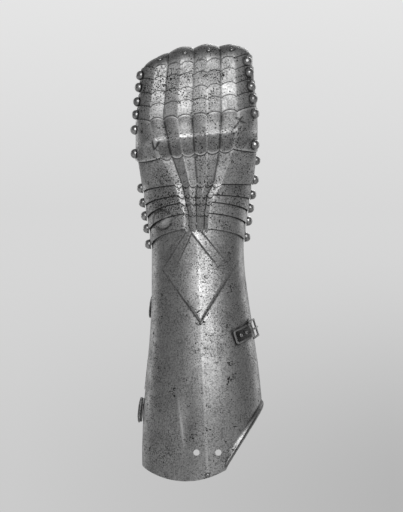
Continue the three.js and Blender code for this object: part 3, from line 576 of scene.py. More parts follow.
def metal(name, tone=1.0, roughness=steel_roughness, pitting=1.0):
    """Old polished steel on Object coordinates: stains, three sizes of pits, scratches and dirt,
    and the highlights and shade painted into its wear attribute.
    """
    material, tree, shader = fresh_material(name)
    place = wired(tree, "TexCoord", "Object", {})
    ramp = partial(ramped, tree)

    def noise_at(size, detail=4.0, vector=place, output="Fac"):
        values = {"Vector": vector, "Scale": 1 / size, "Detail": detail}
        return wired(tree, "TexNoise", output, values)

    def drawn_along(scale, turn):
        values = {"Vector": place, "Scale": scale, "Rotation": (0, turn, 0)}
        return wired(tree, "Mapping", "Vector", values)

    def joined(kind, *values):
        return wired(tree, "Math", "Value", dict(enumerate(values)), operation=kind)

    def toned(colour):
        return (*(tone * part for part in colour), 1) if isinstance(colour, tuple) else colour

    def mixed(share, a, b):
        return wired(tree, "Mix", 2, {"Factor": share, 6: toned(a), 7: toned(b)}, data_type="RGBA")

    def spots(spacing, patches, low, high, largest):
        """1 in the middle of a spot, which is larger where the patches reach its cell."""
        distance = wired(tree, "TexVoronoi", "Distance", {"Vector": ragged, "Scale": 1 / spacing})
        cell = wired(tree, "SeparateColor", "Red", {"Color": distance.node.outputs["Color"]})
        reach = joined("ADD", patches, ramp(cell, 0.0, 1.0, -spot_chance, spot_chance))
        size = ramp(reach, low, high, 0.0, largest)
        return ramp(joined("SUBTRACT", size, distance), 0.0, 0.1)

    wander = noise_at(speck_spacing, 2.0, output="Color")
    shift = {0: wander, 1: (pit_wander, pit_wander, pit_wander), 2: place}
    ragged = wired(tree, "VectorMath", "Vector", shift, operation="MULTIPLY_ADD")
    stains = noise_at(stain_size, 6.0)
    patches = noise_at(stain_size * 1.7, 4.0)
    specks = spots(speck_spacing, patches, *speck_range, speck_size)
    pits = spots(pit_spacing, patches, *pit_range, pit_size)
    blots = spots(blot_spacing, noise_at(stain_size * 0.7, 3.0), *blot_range, blot_size)
    specks = joined("MULTIPLY", specks, speck_depth)
    marks = joined("MAXIMUM", specks, joined("MULTIPLY", pits, pit_depth))
    marks = joined("MULTIPLY", joined("MAXIMUM", marks, blots), pitting)
    marks = joined("MINIMUM", marks, 1.0)
    stretch = scratch_width / scratch_length
    along = noise_at(scratch_width, 1.0, drawn_along((stretch, 1.0, 1.0), scratch_turns[0]))
    across = noise_at(scratch_width, 1.0, drawn_along((1.0, 1.0, stretch), scratch_turns[1]))
    scratches = ramp(joined("MAXIMUM", along, across), *scratch_range)
    grain = noise_at(speck_spacing * 0.5, 3.0)
    worn_and_lit = wired(tree, "Attribute", "Fac", {}, attribute_name="wear_and_light")
    wear_and_light = joined("ADD", worn_and_lit, ramp(grain, *grain_range, -0.15, 0.15))
    # Rubbed wear and painted highlights lighten the steel; dirt and painted shade darken it.
    rubbed_and_lit = ramp(wear_and_light, 0.0, 1.0)
    darkening = ramp(wear_and_light, 0.0, -0.9)

    mottle = noise_at(speck_spacing * 0.9, 6.0)
    clouds = joined("ADD", joined("MULTIPLY", stains, 0.45), mottle)
    colour = mixed(ramp(clouds, *cloud_range), stained_grey, steel_grey)
    colour = mixed(joined("MULTIPLY", scratches, scratch_shine), colour, worn_and_lit_grey)
    colour = mixed(joined("MULTIPLY", rubbed_and_lit, rubbed_and_lit_shine), colour, worn_and_lit_grey)
    colour = mixed(marks, colour, pit_grey)
    colour = mixed(joined("MULTIPLY", darkening, dirt_and_shade_cover), colour, dirt_and_shade_grey)
    rough = ramp(stains, 0.4, 0.7, roughness + 0.05, roughness - 0.04)
    rough = joined("ADD", rough, joined("MULTIPLY", marks, 0.3))
    rough = joined("SUBTRACT", rough, joined("MULTIPLY", rubbed_and_lit, 0.1))
    rough = joined("ADD", rough, ramp(grain, *grain_range, -0.05, 0.05))
    height = joined("SUBTRACT", joined("MULTIPLY", grain, 0.4), marks)
    height = joined("SUBTRACT", height, joined("MULTIPLY", scratches, 0.15))
    bump = bumped(tree, height, 0.45)
    feed(tree, shader, {"Metallic": 0.9, "Base Color": colour, "Roughness": rough, "Normal": bump})
    return material


def fitted(piece, material, body, slot, *nodes):
    """Gives a finished piece its material and body, and hides the CAD nodes that it stands for.

    Its slot is not used.
    """
    piece.data.materials.clear()
    piece.data.materials.append(material)
    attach(piece, body)
    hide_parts(*nodes)


steel = metal("polished_steel")
plate_steel = metal("plate_steel", roughness=0.5, pitting=1.5)
dark_steel = metal("dark_steel", tone=0.7, roughness=0.42)
rivet_steel = metal("rivet_steel", tone=0.95, roughness=0.36, pitting=0.5)
cuff_stops = [(cuff_left_angle, 10), (-pi / 2, 14), (radians(-45), 100), (cuff_corner, 46)]
cuff_columns = steps(*cuff_stops, (pi / 2, 10), (cuff_right_angle, 0))
roll_share = roll_width / cuff_length
roll_shade = 0.8
roll_foot = 1.08
roll_top = 0.6
crown_highlight = (0.9, 0.3)
crown_width = radians(1.5)
crown_heights = (20 * mm, 60 * mm)
cuff_rows = steps((0.0, 10), (roll_share, 46), (0.58, 136), (1.0, 0))


def rivet_pairs(*names):
    return [f"{name}_rivet_{side}" for name in names for side in both_sides]


# Painted light and shade for the cuff: at the lozenge, the crown, the hollow, the buckle and the
# roll.
def cuff_light_and_shade(angle, share, place):
    from_edge = (place.z - elbow_edge(angle)) / roll_width
    # Painted shade on the rolled edge, which damps its highlight, and in the crease at its foot.
    behind_roll = fading(abs(from_edge - roll_foot), 0.02, 0.2)
    on_roll = fading(abs(from_edge - roll_top), 0, 0.3)
    on_cut = smooth(angle, cuff_corner - cut_blend, cuff_corner)
    # A painted highlight along the crown of the ridge.
    crown = lerp(*crown_highlight, smooth(place.z, *crown_heights))
    crown = crown * fading(abs(angle), 0, crown_width) + hollow_highlight(place.x, place.z)
    worn_and_lit = lozenge_shade(place.x, place.z) + crown + buckle_shadow(place)
    return worn_and_lit + on_cut * (-roll_shade * on_roll - behind_roll)


cuff_rivets = [*rivet_pairs("wrist_5"), "edge_rivet", "lining_rivet"]
cuff = sheet("cuff_sheet", cuff_point, cuff_columns, cuff_rows, cuff_rivets, wear_and_light=cuff_light_and_shade)
for x in lace_hole_places:
    at = {"location": (x, -cuff_height, lace_hole_height), "rotation": (pi / 2, 0, 0)}
    combine(cuff, rod("lace_hole", 48, lace_hole_radius, cuff_height, **at), "DIFFERENCE")
palm_side = beside_joint(cuff_palm_elbow / 2)
below = (cuff_left_width * 4, cuff_palm_elbow * 4, palm_plate_top * 2)
combine(palm_side, cube("below", scale=below), "INTERSECT")
combine(cuff, palm_side, "DIFFERENCE")
fitted(cuff, steel, "cuff", "steel", "cuff")

# Palm plate
# The inner half of the cuff, a plain sheet that meets the outer half at the hinges and laps it
# on the thumb side, where the strap closes it.
palm_low = 34 * mm
palm_low_right = 88 * mm
palm_right_angle = radians(101)
palm_overlap = radians(4)


def palm_point(angle, share):
    spread = (arm_point(palm_low, angle).x + cuff_left_width) / (cuff_left_width + cuff_right_width)
    low = lerp(palm_low, palm_low_right, spread)
    turn = angle - 2 * pi if angle > pi else angle
    return arm_point(lerp(low, palm_plate_top - clearance, share), turn, palm_step)


palm_columns = steps((palm_right_angle, 110), (3 * pi / 2 + palm_overlap, 0))
palm = sheet("palm_sheet", palm_point, palm_columns, shares(60), ["strap_rivet"])
combine(palm, beside_joint(clearance - cuff_palm_elbow / 2), "DIFFERENCE")
fitted(palm, steel, "palm_plate", "steel", "palm_plate")

# Hand plates
# Sheets that follow one another's curve from the wrist to the fingertips. Seven flute lines fan
# out of the wrist, ridge and valley in turn, and each plate's edge is cut in a bow between them.
finger_step = plate_thickness + finger_gap
wrist_run = 58.1 * mm
hand_length = 33.7 * mm
knuckle_length = 27.8 * mm
finger_run = 54.3 * mm
wrist_pivots = [cuff_length + wrist_run * share for share in (0, 0.28, 0.505, 0.74, 1)]
hand_pivot = cuff_length + wrist_run + hand_length
finger_shares = [0, 0.276, 0.514, 0.779, 1]
finger_pivots = [hand_pivot + knuckle_length + finger_run * share for share in finger_shares]
finger_tilt = 0.136
edge_tilt = 0.108
knuckle_middle = -2 * mm
knuckle_left_width = 61 * mm
knuckle_right_width = 62.5 * mm
knuckle_height = 49.5 * mm
left_shoulder_depth = 20 * mm
right_shoulder_depth = 30 * mm
left_squareness = 3
right_squareness = 2.5
finger_curl_radius = 227 * mm
finger_cheek_depth = 34 * mm
hand_cheek_reach = 8 * mm
wrist_cheek_reach = 9 * mm
ear_reach = 5 * mm
knuckle_ear_reach = 7 * mm
finger_edge_rise = 3.6 * mm
scallop = 3.3 * mm
finger_tail_drop = 1.5 * mm
tail_dip = 0.5 * mm
wrist_edge_rise = 11.6 * mm
wrist_edge_shares = [1, 1, 0.82, 0.26, -0.17]
wrist_overlap = 6 * mm
wrist_scallop = 3.4 * mm
hand_edge_drop = 4.2 * mm
line_shares = [-1, -0.68, -0.36, -0.025, 0.31, 0.64, 1]
fan_half_width = 44 * mm
flute_depth = 2.6 * mm


def finger_section(z):
    past = max(0, z - (finger_pivots[0] + finger_edge_rise))
    crown = -knuckle_height + past * past / (2 * finger_curl_radius)
    left = (knuckle_left_width, left_shoulder_depth, left_squareness)
    right = (knuckle_right_width, right_shoulder_depth, right_squareness)
    return {"middle": knuckle_middle, "crown": crown, "palm": 0, "left": left, "right": right}


wrist_side = (wrist_half_width, wrist_height, wrist_squareness)
wrist_section = {"middle": wrist_middle, "crown": -wrist_height, "palm": 0}
wrist_section |= {"left": wrist_side, "right": wrist_side}
wrist_edges = [a + wrist_edge_rise * b for a, b in zip(wrist_pivots, wrist_edge_shares)]
heel_edge = wrist_edges[4]
hand_edge = hand_pivot - hand_edge_drop


def hand_section(z):
    share = clamp((hand_edge - z) / (hand_edge - heel_edge))
    return blended(inset(finger_section(z), finger_step), wrist_section, share)


# The fan at eight heights: its half-width and its middle as shares of the named sizes, and the
# depth of the flutes.
fan = [
    (wrist_edges[0], 0.26, -0.02, 0.8),
    (wrist_edges[1], 0.275, -0.02, 0.8),
    (wrist_edges[2], 0.36, -0.03, 0.8),
    (wrist_edges[3], 0.4, -0.03, 0.8),
    (heel_edge, 0.545, 0, 0.85),
    (hand_edge, 0.841, -0.04, 0.9),
    (finger_pivots[0] + finger_edge_rise, 1, -0.08, 0.8),
    (finger_pivots[4] + finger_edge_rise, 0.909, -0.047, 0.72),
]


def fan_at(z):
    for low, high in zip(fan, fan[1:]):
        if z <= high[0] or high is fan[-1]:
            share = clamp((z - low[0]) / (high[0] - low[0]))
            return tuple(lerp(a, b, share) for a, b in zip(low[1:], high[1:]))


def angle_at(section, x):
    width, _, square = section["left" if x < section["middle"] else "right"]
    turn = asin(min(1, (abs(x - section["middle"]) / width) ** (square / 2)))
    return turn if x > section["middle"] else -turn


def angle_of_line(section, line, z):
    """A place across a plate is counted in lines: 0 to 6 on the flutes, then -1 and 7 at the
    widest points of the sides, and -2 and 8 at the ends of the cheeks."""
    inside = clamp(line, 0, 6)
    below = min(5, floor(inside))
    share = lerp(line_shares[below], line_shares[below + 1], inside - below)
    half_width, middle, _ = fan_at(z)
    angle = angle_at(section, knuckle_left_width * middle + share * fan_half_width * half_width)
    if line < 0:
        return lerp(angle, -pi / 2, min(1, -line))
    return lerp(angle, pi / 2, min(1, line - 6)) if line > 6 else angle


def crease(line):
    """1 on a ridge and -1 in a valley, with flat facets between them, dying away at the sides."""
    if line < 0:
        return max(0, 1 + line)
    if line > 6:
        return max(0, 7 - line)
    return 1 - 2 * abs(line % 2 - (2 if line % 2 > 1 else 0))


def bow(line):
    if line <= -1 or line >= 7:
        return 0
    share = line - floor(line)
    return (4 * share * (1 - share)) ** 0.75


def edges_at(plate, line):
    height = (plate["low"]["middle"] + plate["high"]["middle"]) / 2
    section = plate["section"](height)
    angle = angle_of_line(section, line, height)
    x = round_point(section, angle)[0]
    edges = []
    for edge, sign in ((plate["low"], -1), (plate["high"], 1)):
        bowed = edge["scallop"] if edge["every"] or 0 < line < 6 else 0
        edges.append(edge_height(edge, x, angle) + sign * bowed * bow(line))
    return edges


def plate_point(plate, line, share):
    z = lerp(*edges_at(plate, line), share)
    section = plate["section"](z)
    angle = angle_of_line(section, line, z)
    x, y = round_point(section, angle)
    past = max(-1 - line, line - 7, 0)
    if past > 0:
        return Vector((x, lerp(y, plate["cheek"](z), past), z))
    relief = crease(line) * flute_depth * fan_at(z)[2] / 2
    roll = plate["rise"](share) * (1 - abs(sin(angle)) ** 6)
    dip = plate["dip"](share) * cos(angle)
    return Vector((x, y - relief - roll + dip, z))


def nothing(share):
    return 0


def edge(middle, tilt, left, right, scallop=0.0, every=False):
    """One end of a plate: its heights, and the depth of its bows, at the sides too if every."""
    return dict(middle=middle, tilt=tilt, left=left, right=right, scallop=scallop, every=every)


def plate(section, low, high, cheek, rise=nothing, dip=nothing):
    """A plate: its cross-section and its cheeks at a height, its two ends, its rise and dip."""
    return dict(section=section, low=low, high=high, cheek=cheek, rise=rise, dip=dip)


def plate_columns(facet_steps):
    flutes = []
    for i in range(6):
        flutes += [(i + 0.0, 1), (i + 0.05, facet_steps), (i + 0.95, 1)]
    return steps((-2.0, 10), (-1.0, 24), *flutes, (6.0, 24), (7.0, 10), (8.0, 0))


# Shade is painted into the valleys, and a shadow just outside a plate that laps this one. The
# ridges and the free edges get a painted highlight, which also stands for rubbed wear.
lap_shadow_width = 1.9 * mm
crease_width = 1.2 * mm
crease_share = 0.2
valley_shade = 0.95
ridge_wear_and_highlight = 0.6
rim_wear_and_highlight = 1
rim_width = 0.06
facet_tone = 0.4


def plate_wear_and_light(seed, rims=(), over=None):
    """Wear and painted light for a plate, from its free ends and the plate that laps it:
    (plate, end, direction).
    """

    def wear_and_light(line, share, place):
        value = facet_tone * noise.noise(Vector((floor(line) * 7.3 + 0.5, seed * 3.7, 1)))
        if -1 < line < 7:
            facet = fan_half_width * fan_at(place.z)[0] / 3
            reach = min(crease_width, crease_share * facet)
            near = fading(abs(line - round(line)) * facet, 0, reach)
            # Painted shade in the valleys; a painted highlight, partly rubbed wear, on the ridges.
            if 0 <= round(line) <= 6:
                value += near * (-valley_shade if round(line) % 2 else ridge_wear_and_highlight)
        # A painted highlight along the free ends, partly rubbed wear.
        for rim in rims:
            shine = rim_wear_and_highlight * fading(abs(share - rim), rim_width / 3, rim_width)
            value += shine * (1 if 0 <= line <= 6 else 0.5)
        # A painted shadow just beyond the edge of the plate that laps this one.
        if over:
            lap, end, sign = over
            beyond_lap = sign * (place.z - edges_at(lap, line)[end])
            value = min(value, -fading(beyond_lap, 0, lap_shadow_width))
        return value

    return wear_and_light


def fluted(node, name, point, rows, rivets, wear_and_light, facet_steps=9):
    """Models a plate of the hand and fits it to the body of its own name."""
    piece = sheet(name, point, plate_columns(facet_steps), rows, rivets, wear_and_light=wear_and_light)
    fitted(piece, plate_steel, node, "steel", node)


# Wrist lames
# Four narrow bands between the cuff and the hand plate, each lapped by the one above it and
# turning on a rivet at each side. The third and fourth are bossed over the wrist bone.
boss_middle = (-36 * mm, 261.3 * mm)
boss_radius = 9.5 * mm
boss_rise = 2.6 * mm
boss_ring = 1.1 * mm
ring_shade = 0.8
wrist_contrast = 1.3
wrist_highlight = 0.2


def from_boss(place):
    return sqrt((place.x - boss_middle[0]) ** 2 + (place.z - boss_middle[1]) ** 2)


def wrist_point(lame):
    def point(line, share):
        place = plate_point(lame, line, share)
        place.y -= boss_rise * fading(from_boss(place), 0, boss_radius)
        return place

    return point


def wrist_wear_and_light(number, lap):
    plain = plate_wear_and_light(number, rims=(0.0,), over=(lap, 0, -1))

    def wear_and_light(line, share, place):
        away = from_boss(place)
        # Painted shade in a ring round the foot of the boss, and a painted highlight on its lit
        # side.
        ring = fading(abs(away - boss_radius), boss_ring / 3, boss_ring)
        side = (place.x - boss_middle[0]) - (place.z - boss_middle[1])
        lit = fading(away, 0, boss_radius) * smooth(side, -boss_ring, boss_ring * 4)
        value = plain(line, share, place)
        # The flutes' painted highlights and shade are made stronger, and the flutes are painted
        # lighter.
        if 0 <= line <= 6:
            value = value * wrist_contrast + wrist_highlight
        return value - ring_shade * ring + lit

    return wear_and_light


def wrist_edge(height, pivot, half_width, reach, scallop=0.0):
    """A wrist plate's edge, whose sides lie a reach beyond the pivots there."""
    ends = (wrist_tilt * (wrist_middle + side * half_width) + reach for side in (-1, 1))
    return edge(height, 0, *(pivot + end for end in ends), scallop)


def wrist_lame(number):
    below, above = 4 - number, 5 - number
    half_width = wrist_half_width - wrist_step * number
    high_middle = wrist_edges[above] + wrist_overlap
    return plate(
        lambda z: inset(wrist_section, wrist_step * number),
        wrist_edge(wrist_edges[below], wrist_pivots[below], half_width, -ear_reach, wrist_scallop),
        wrist_edge(high_middle, wrist_pivots[above], half_width, ear_reach),
        lambda z: wrist_cheek_reach,
    )


hand_left = hand_pivot + wrist_tilt * (knuckle_middle - knuckle_left_width)
hand_right = hand_pivot + wrist_tilt * (knuckle_middle + knuckle_right_width)
hand = plate(
    hand_section,
    wrist_edge(heel_edge, wrist_pivots[4], wrist_half_width, -ear_reach, wrist_scallop),
    edge(hand_pivot + ear_reach, wrist_tilt, hand_left + ear_reach, hand_right + ear_reach),
    lambda z: hand_cheek_reach,
)
lap = hand
for number in (1, 2, 3, 4):
    name = f"wrist_lame_{number}"
    lame = wrist_lame(number)
    pivots = rivet_pairs(f"wrist_{number}", f"wrist_{number + 1}")
    worn_and_lit = wrist_wear_and_light(number, lap)
    fluted(name, f"{name}_sheet", wrist_point(lame), shares(26), pivots, worn_and_lit, 6)
    lap = lame

# Hand plate
# It covers the back of the hand between the wrist lames and the knuckles. Its flutes are narrow
# at the wrist and broad at the knuckle plate, which laps it.
low_ends = (hand_left - ear_reach, hand_right - ear_reach)
knuckle_low = edge(hand_edge, edge_tilt, *low_ends, scallop, True)
knuckle_foot = plate(hand_section, knuckle_low, hand["high"], None)
hand_wear_and_light = plate_wear_and_light(5, rims=(0.0,), over=(knuckle_foot, 0, -1))
hand_rivets = [*rivet_pairs("wrist_1"), "thumb_rivet", *rivet_pairs("knuckle")]
hand_point = partial(plate_point, hand)
fluted("hand_plate", "hand_sheet", hand_point, shares(56), hand_rivets, hand_wear_and_light)

# Knuckle plate
# The outermost plate, rolled up to a crest over the knuckles, with an edge cut in bows at both
# ends. It turns on the hand plate, and the finger lames hang from it.
crest_rise = 7.5 * mm
crest = [(0, 0), (0.22, 0.5), (0.4, 0.93), (0.46, 1), (0.53, 0.94), (0.76, 0.5), (1, 0)]


def crest_at(share):
    for (start, rise), (end, next_rise) in zip(crest, crest[1:]):
        if share <= end or end == 1:
            return crest_rise * lerp(rise, next_rise, clamp((share - start) / (end - start)))


def finger_ends(level):
    left_x = knuckle_middle - knuckle_left_width
    right_x = knuckle_middle + knuckle_right_width - finger_step * 3
    return tuple(finger_pivots[level] + finger_tilt * x for x in (left_x, right_x))


def finger_high(level, scalloped=scallop):
    left, right = finger_ends(level)
    middle = finger_pivots[level] + finger_edge_rise
    left_reach = ear_reach if level else knuckle_ear_reach
    return edge(middle, edge_tilt, left + left_reach, right + ear_reach, scalloped, True)


def finger_low(level):
    left, right = finger_ends(level)
    middle = finger_pivots[level] - finger_tail_drop
    return edge(middle, finger_tilt, left - ear_reach, right - ear_reach)


def finger_cheek(z):
    return finger_section(z)["crown"] + finger_cheek_depth


knuckle = plate(finger_section, knuckle_low, finger_high(0), finger_cheek, crest_at)
# Thin marks filed in by the workshop, each a line from one x and z to another.
marks_filed = [
    ((-46 * mm, 339 * mm), (-43 * mm, 331 * mm)),
    ((-43 * mm, 331 * mm), (-39 * mm, 338 * mm)),
    ((36 * mm, 352 * mm), (44 * mm, 364 * mm)),
    ((38 * mm, 363 * mm), (46 * mm, 358 * mm)),
]
mark_width = 1.5 * mm
mark_dirt = 1.4


def mark_depth(place):
    """1 on a filed mark."""
    spot = Vector((place.x, place.z))
    deepest = 0
    for start, end in marks_filed:
        start, end = Vector(start), Vector(end)
        run = end - start
        nearest = start + run * clamp((spot - start).dot(run) / run.length_squared)
        deepest = max(deepest, fading((spot - nearest).length, 0, mark_width))
    return deepest


# A painted highlight along the crest, and painted shade in the hollow under it.
crest_highlight = 0.9
crest_width = 0.035
crest_place = 0.45
under_crest_shade = 0.3
hollow_place = 0.2
plain_wear_and_light = plate_wear_and_light(6, rims=(0.0, 1.0))


def knuckle_wear_and_light(line, share, place):
    """A painted highlight runs in streaks along the crest over the knuckles, and painted shade
    lies in the hollow under it.
    """
    streak = smooth(noise.noise(Vector((line * 3.7, 4, 9))), -0.15, 0.35)
    crest_line = fading(abs(share - crest_place), 0, crest_width) * streak * crest_highlight
    under_crest = fading(abs(share - hollow_place), 0.05, 0.2)
    worn_and_lit = plain_wear_and_light(line, share, place) + crest_line
    return worn_and_lit - under_crest_shade * under_crest - mark_dirt * mark_depth(place)


knuckle_rivets = rivet_pairs("knuckle", "finger_lame_5")
knuckle_point = partial(plate_point, knuckle)
fluted("knuckle_plate", "knuckle_sheet", knuckle_point, shares(60), knuckle_rivets, knuckle_wear_and_light)

# Finger lames
# Four bands over the fingers, each lapped by the one nearer the knuckles, so that they close
# over one another as the hand opens. They curve down towards the fingertips.
finger_names = ["finger_lame_5", "finger_lame_4", "finger_lame_3", "finger_lame_2", "tip_lame"]


def finger_lame(level, high, dip_reach):
    """A lame over the fingers, so many plates in from the knuckle plate."""
    step = finger_step * level
    return plate(
        lambda z: inset(finger_section(z), step),
        finger_low(level - 1),
        high,
        lambda z: finger_cheek(z) + step,
        dip=lambda share: tail_dip * max(0, 1 - share * dip_reach),
    )


lap = knuckle
for level in (1, 2, 3, 4):
    name = finger_names[level - 1]
    lame = finger_lame(level, finger_high(level), 3)
    pivots = rivet_pairs(name, finger_names[level])
    worn_and_lit = plate_wear_and_light(6 + level, rims=(1.0,), over=(lap, 1, 1))
    fluted(name, f"{name}_sheet", partial(plate_point, lame), shares(34), pivots, worn_and_lit)
    lap = lame

# Tip lame
# The last lame rises to a lobe over each finger and half finger, and curls over the fingertips
# towards the palm.
tip_rise = 21.5 * mm
tip_rise_shares = [0.15, 0.64, 0.79, 1, 0.865, 1, 0.79, 0.79, 0.16]
tip_curl = 24 * mm
tip_curl_angle = radians(100)
tip_narrow = 0.06
curl_start = 0.4
lobe_bow = 1 * mm
tip = finger_lame(5, finger_high(4, 0.0), 2)


def tip_point(line, share):
    if share <= curl_start:
        return plate_point(tip, line, share / curl_start)
    base = plate_point(tip, line, 1)
    turn = tip_curl_angle * (share - curl_start) / (1 - curl_start)
    rim = tip["section"](base.z)["crown"] + tip_curl
    place = clamp(line + 1, 0, 8)
    below = min(7, floor(place))
    rise = tip_rise * lerp(tip_rise_shares[below], tip_rise_shares[below + 1], place - below)
    x = lerp(base.x, knuckle_middle, tip_narrow * (1 - cos(turn)))
    y = base.y + max(0, rim - base.y) * (1 - cos(turn))
    return Vector((x, y, base.z + (rise + lobe_bow * bow(line)) * sin(turn)))


tip_rivets = [*rivet_pairs("tip_lame"), *tip_small_rivets]
tip_rows = steps((0.0, 22), (curl_start, 34), (1.0, 0))
tip_wear_and_light = plate_wear_and_light(11, rims=(1.0,), over=(lap, 1, 1))
fluted("tip_lame", "tip_sheet", tip_point, tip_rows, tip_rivets, tip_wear_and_light)

# Thumb
# A scoop riveted under the hand plate's side, which carries a closed tip that turns inside it.
thumb_root_drop = 16.7 * mm
thumb_root_forward = 12 * mm
thumb_reach = 48 * mm
thumb_rise = 37 * mm
thumb_tuck = 1.7 * mm
thumb_radius = 15 * mm
thumb_tip_radius = 12.5 * mm
thumb_arc = radians(92)
thumb_pivot_share = 0.88
thumb_tail_share = 0.8
thumb_tip_length = 30 * mm
thumb_tip_close = 0.94
thumb_root_z = hand_pivot - thumb_root_drop


def hand_side(z):
    return round_point(hand_section(z), pi / 2)[0] - wrist_step


root_x = min(hand_side(thumb_root_z), hand_side(heel_edge)) - thumb_radius
end_x = hand_side(hand_edge) - thumb_tuck - thumb_tip_radius
thumb_root = Vector((root_x, -thumb_root_forward, thumb_root_z))
thumb_end = Vector((end_x, thumb_reach - thumb_root_forward, thumb_root_z + thumb_rise))
thumb_along = (thumb_end - thumb_root).normalized()
thumb_out = (Vector((1, 0, 0)) - thumb_along * thumb_along.x).normalized()
thumb_side = thumb_along.cross(thumb_out)


def thumb_place(angle, share, radius):
    middle = thumb_root.lerp(thumb_end, share)
    return middle + thumb_out * radius * cos(angle) + thumb_side * radius * sin(angle)


def thumb_base_point(angle, share):
    return thumb_place(angle, share, lerp(thumb_radius, thumb_tip_radius, share))


def thumb_tip_point(angle, share):
    tail = lerp(thumb_pivot_share, thumb_tail_share, (angle / thumb_arc) ** 4)
    along = lerp(tail, 1 + thumb_tip_length / (thumb_end - thumb_root).length, share)
    closing = sqrt(1 - (thumb_tip_close * smooth(share, 0, 1)) ** 3)
    radius = lerp(thumb_radius, thumb_tip_radius, min(1, along)) - finger_step
    return thumb_place(angle, along, radius * closing)


thumb_grid = (steps((-thumb_arc, 44), (thumb_arc, 0)), shares(44))
thumb_rivets = ["thumb_rivet", *thumb_pins]
thumb_base = sheet("thumb_base_sheet", thumb_base_point, *thumb_grid, thumb_rivets)
fitted(thumb_base, steel, "thumb_base", "steel", "thumb_base")
thumb_tip = sheet("thumb_tip_sheet", thumb_tip_point, *thumb_grid, thumb_pins)
fitted(thumb_tip, steel, "thumb_tip", "steel", "thumb_tip")

# Rivets
# Round-headed iron rivets, closed by hand over the inner plate. Each is dressed on the place
# and the grip of its own CAD node, and its head is a little out of round from the hammer.
rivet_sizes = {
    "large": dict(head=4.9 * mm, rise=4.8 * mm, shank=1 * mm, tail=2.5 * mm, tail_rise=0.4 * mm),
    "small": dict(head=2 * mm, rise=1.2 * mm, shank=0.9 * mm, tail=1.5 * mm, tail_rise=0.6 * mm),
}
dome_shares = [(1, 0.08), (0.985, 0.22), (0.93, 0.42), (0.82, 0.62), (0.64, 0.8)]
dome_shares += [(0.42, 0.93), (0.2, 0.985)]
tail_shares = [(0.3, 1), (0.75, 0.9), (0.97, 0.55)]
head_undercut = 0.98
hammer_depth = 0.09
hammer_spacing = 0.8
sideways = Vector((0.3, 0.2, 1))


def extruded(rise):
    bpy.ops.mesh.extrude_region_move(TRANSFORM_OT_translate={"value": (0, 0, rise)})


def drawn_out(name, rings, vertices=28):
    """A round piece: a disc drawn out along Z from ring to ring, each a radius and a height."""
    radius, height = rings[0]
    disc = {"vertices": vertices, "radius": radius, "location": (0, 0, height)}
    piece = added(name, bpy.ops.mesh.primitive_circle_add, fill_type="NGON", **disc)
    with editing(piece):
        for next_radius, next_height in rings[1:]:
            extruded(next_height - height)
            scale = next_radius / radius
            bpy.ops.transform.resize(value=(scale, scale, 1), center_override=(0, 0, next_height))
            radius, height = next_radius, next_height
    return piece


def rivet_master(kind):
    size = rivet_sizes[kind]
    under = -clearance
    tail_top = under - 2 * clearance
    rings = [(size["tail"] * a, tail_top - size["tail_rise"] * b) for a, b in tail_shares]
    rings += [(size["tail"], tail_top), (size["shank"], tail_top), (size["shank"], under)]
    rings += [(size["head"] * head_undercut, under)]
    rings += [(size["head"] * a, size["rise"] * b) for a, b in dome_shares]
    piece = drawn_out(f"{kind}_rivet", rings)
    shaded(piece, 50)
    return piece


def copied(master, name):
    """A copy of a modelled piece, with a mesh of its own."""
    piece = bpy.data.objects.new(name, master.data.copy())
    bpy.context.collection.objects.link(piece)
    return piece


def standing(place, direction):
    """The matrix that stands a piece at a place, with its Z along a direction."""
    x = sideways.cross(direction).normalized()
    turn = Matrix((x, direction.cross(x), direction)).transposed().to_4x4()
    return Matrix.Translation(place) @ turn


masters = {kind: rivet_master(kind) for kind in rivet_sizes}
for body, nodes in frame["record"]["behaviour"]["bodies"].items():
    for node in nodes:
        if "rivet" not in node:
            continue
        seat, direction, tail = rivet_axis(node)
        kind = "small" if node in small_rivets else "large"
        size = rivet_sizes[kind]
        rivet = copied(masters[kind], f"{node}_dome")
        seed = seat * 1000
        for vertex in rivet.data.vertices:
            if vertex.co.z < -clearance * 1.5:
                vertex.co.z -= tail - clearance * 3 - size["tail_rise"]
            elif vertex.co.z > 0:
                blow = noise.noise(vertex.co / (size["head"] * hammer_spacing) + seed)
                vertex.co.z += size["rise"] * hammer_depth * blow
        rivet.data.transform(standing(seat, direction))
        rivet.data.update()
        fitted(rivet, rivet_steel, body, "steel", node)
for master in masters.values():
    bpy.data.objects.remove(master)

# Hinges
# Two dark iron hinges down the little-finger side. Each has a leaf on the cuff and one on the
# palm plate, whose knuckles are wrapped in turn round a headed pin.
hinge_lengths = [24 * mm, 20 * mm]
pin_radius = 0.9 * mm
leaf_thickness = 0.8 * mm
leaf_width = 9 * mm
leaf_round = 0.25 * mm
leaf_rivet_inset = 3 * mm
end_narrowing = 0.5
pin_bore = pin_radius + clearance / 2
stud_rings = [(1.3 * mm, 0), (1.3 * mm, 0.25 * mm), (1.1 * mm, 0.6 * mm), (0.5 * mm, 0.85 * mm)]


def block(name, low, high, round_edge=0.0):
    """A bar of metal between two corners, with its edges eased."""
    middle = [(a + b) / 2 for a, b in zip(low, high)]
    size = [b - a for a, b in zip(low, high)]
    piece = cube(name, location=middle, scale=size)
    if round_edge:
        with editing(piece):
            bpy.ops.mesh.bevel(offset=round_edge, segments=2, affect="EDGES")
    return piece


def tube(name, outer, inner, low, high):
    """A short tube on Z: a rod with both its ends inset and bridged through."""
    piece = rod(name, 32, outer, high - low, location=(0, 0, (low + high) / 2))
    with editing(piece, lambda face: abs(face.normal.z) > 0.9):
        bpy.ops.mesh.inset(thickness=outer - inner, use_individual=True)
        bpy.ops.mesh.bridge_edge_loops()
    return piece


def welded(piece, *others):
    """Joins solids into one skin."""
    for other in others:
        combine(piece, other, "UNION")
    return piece


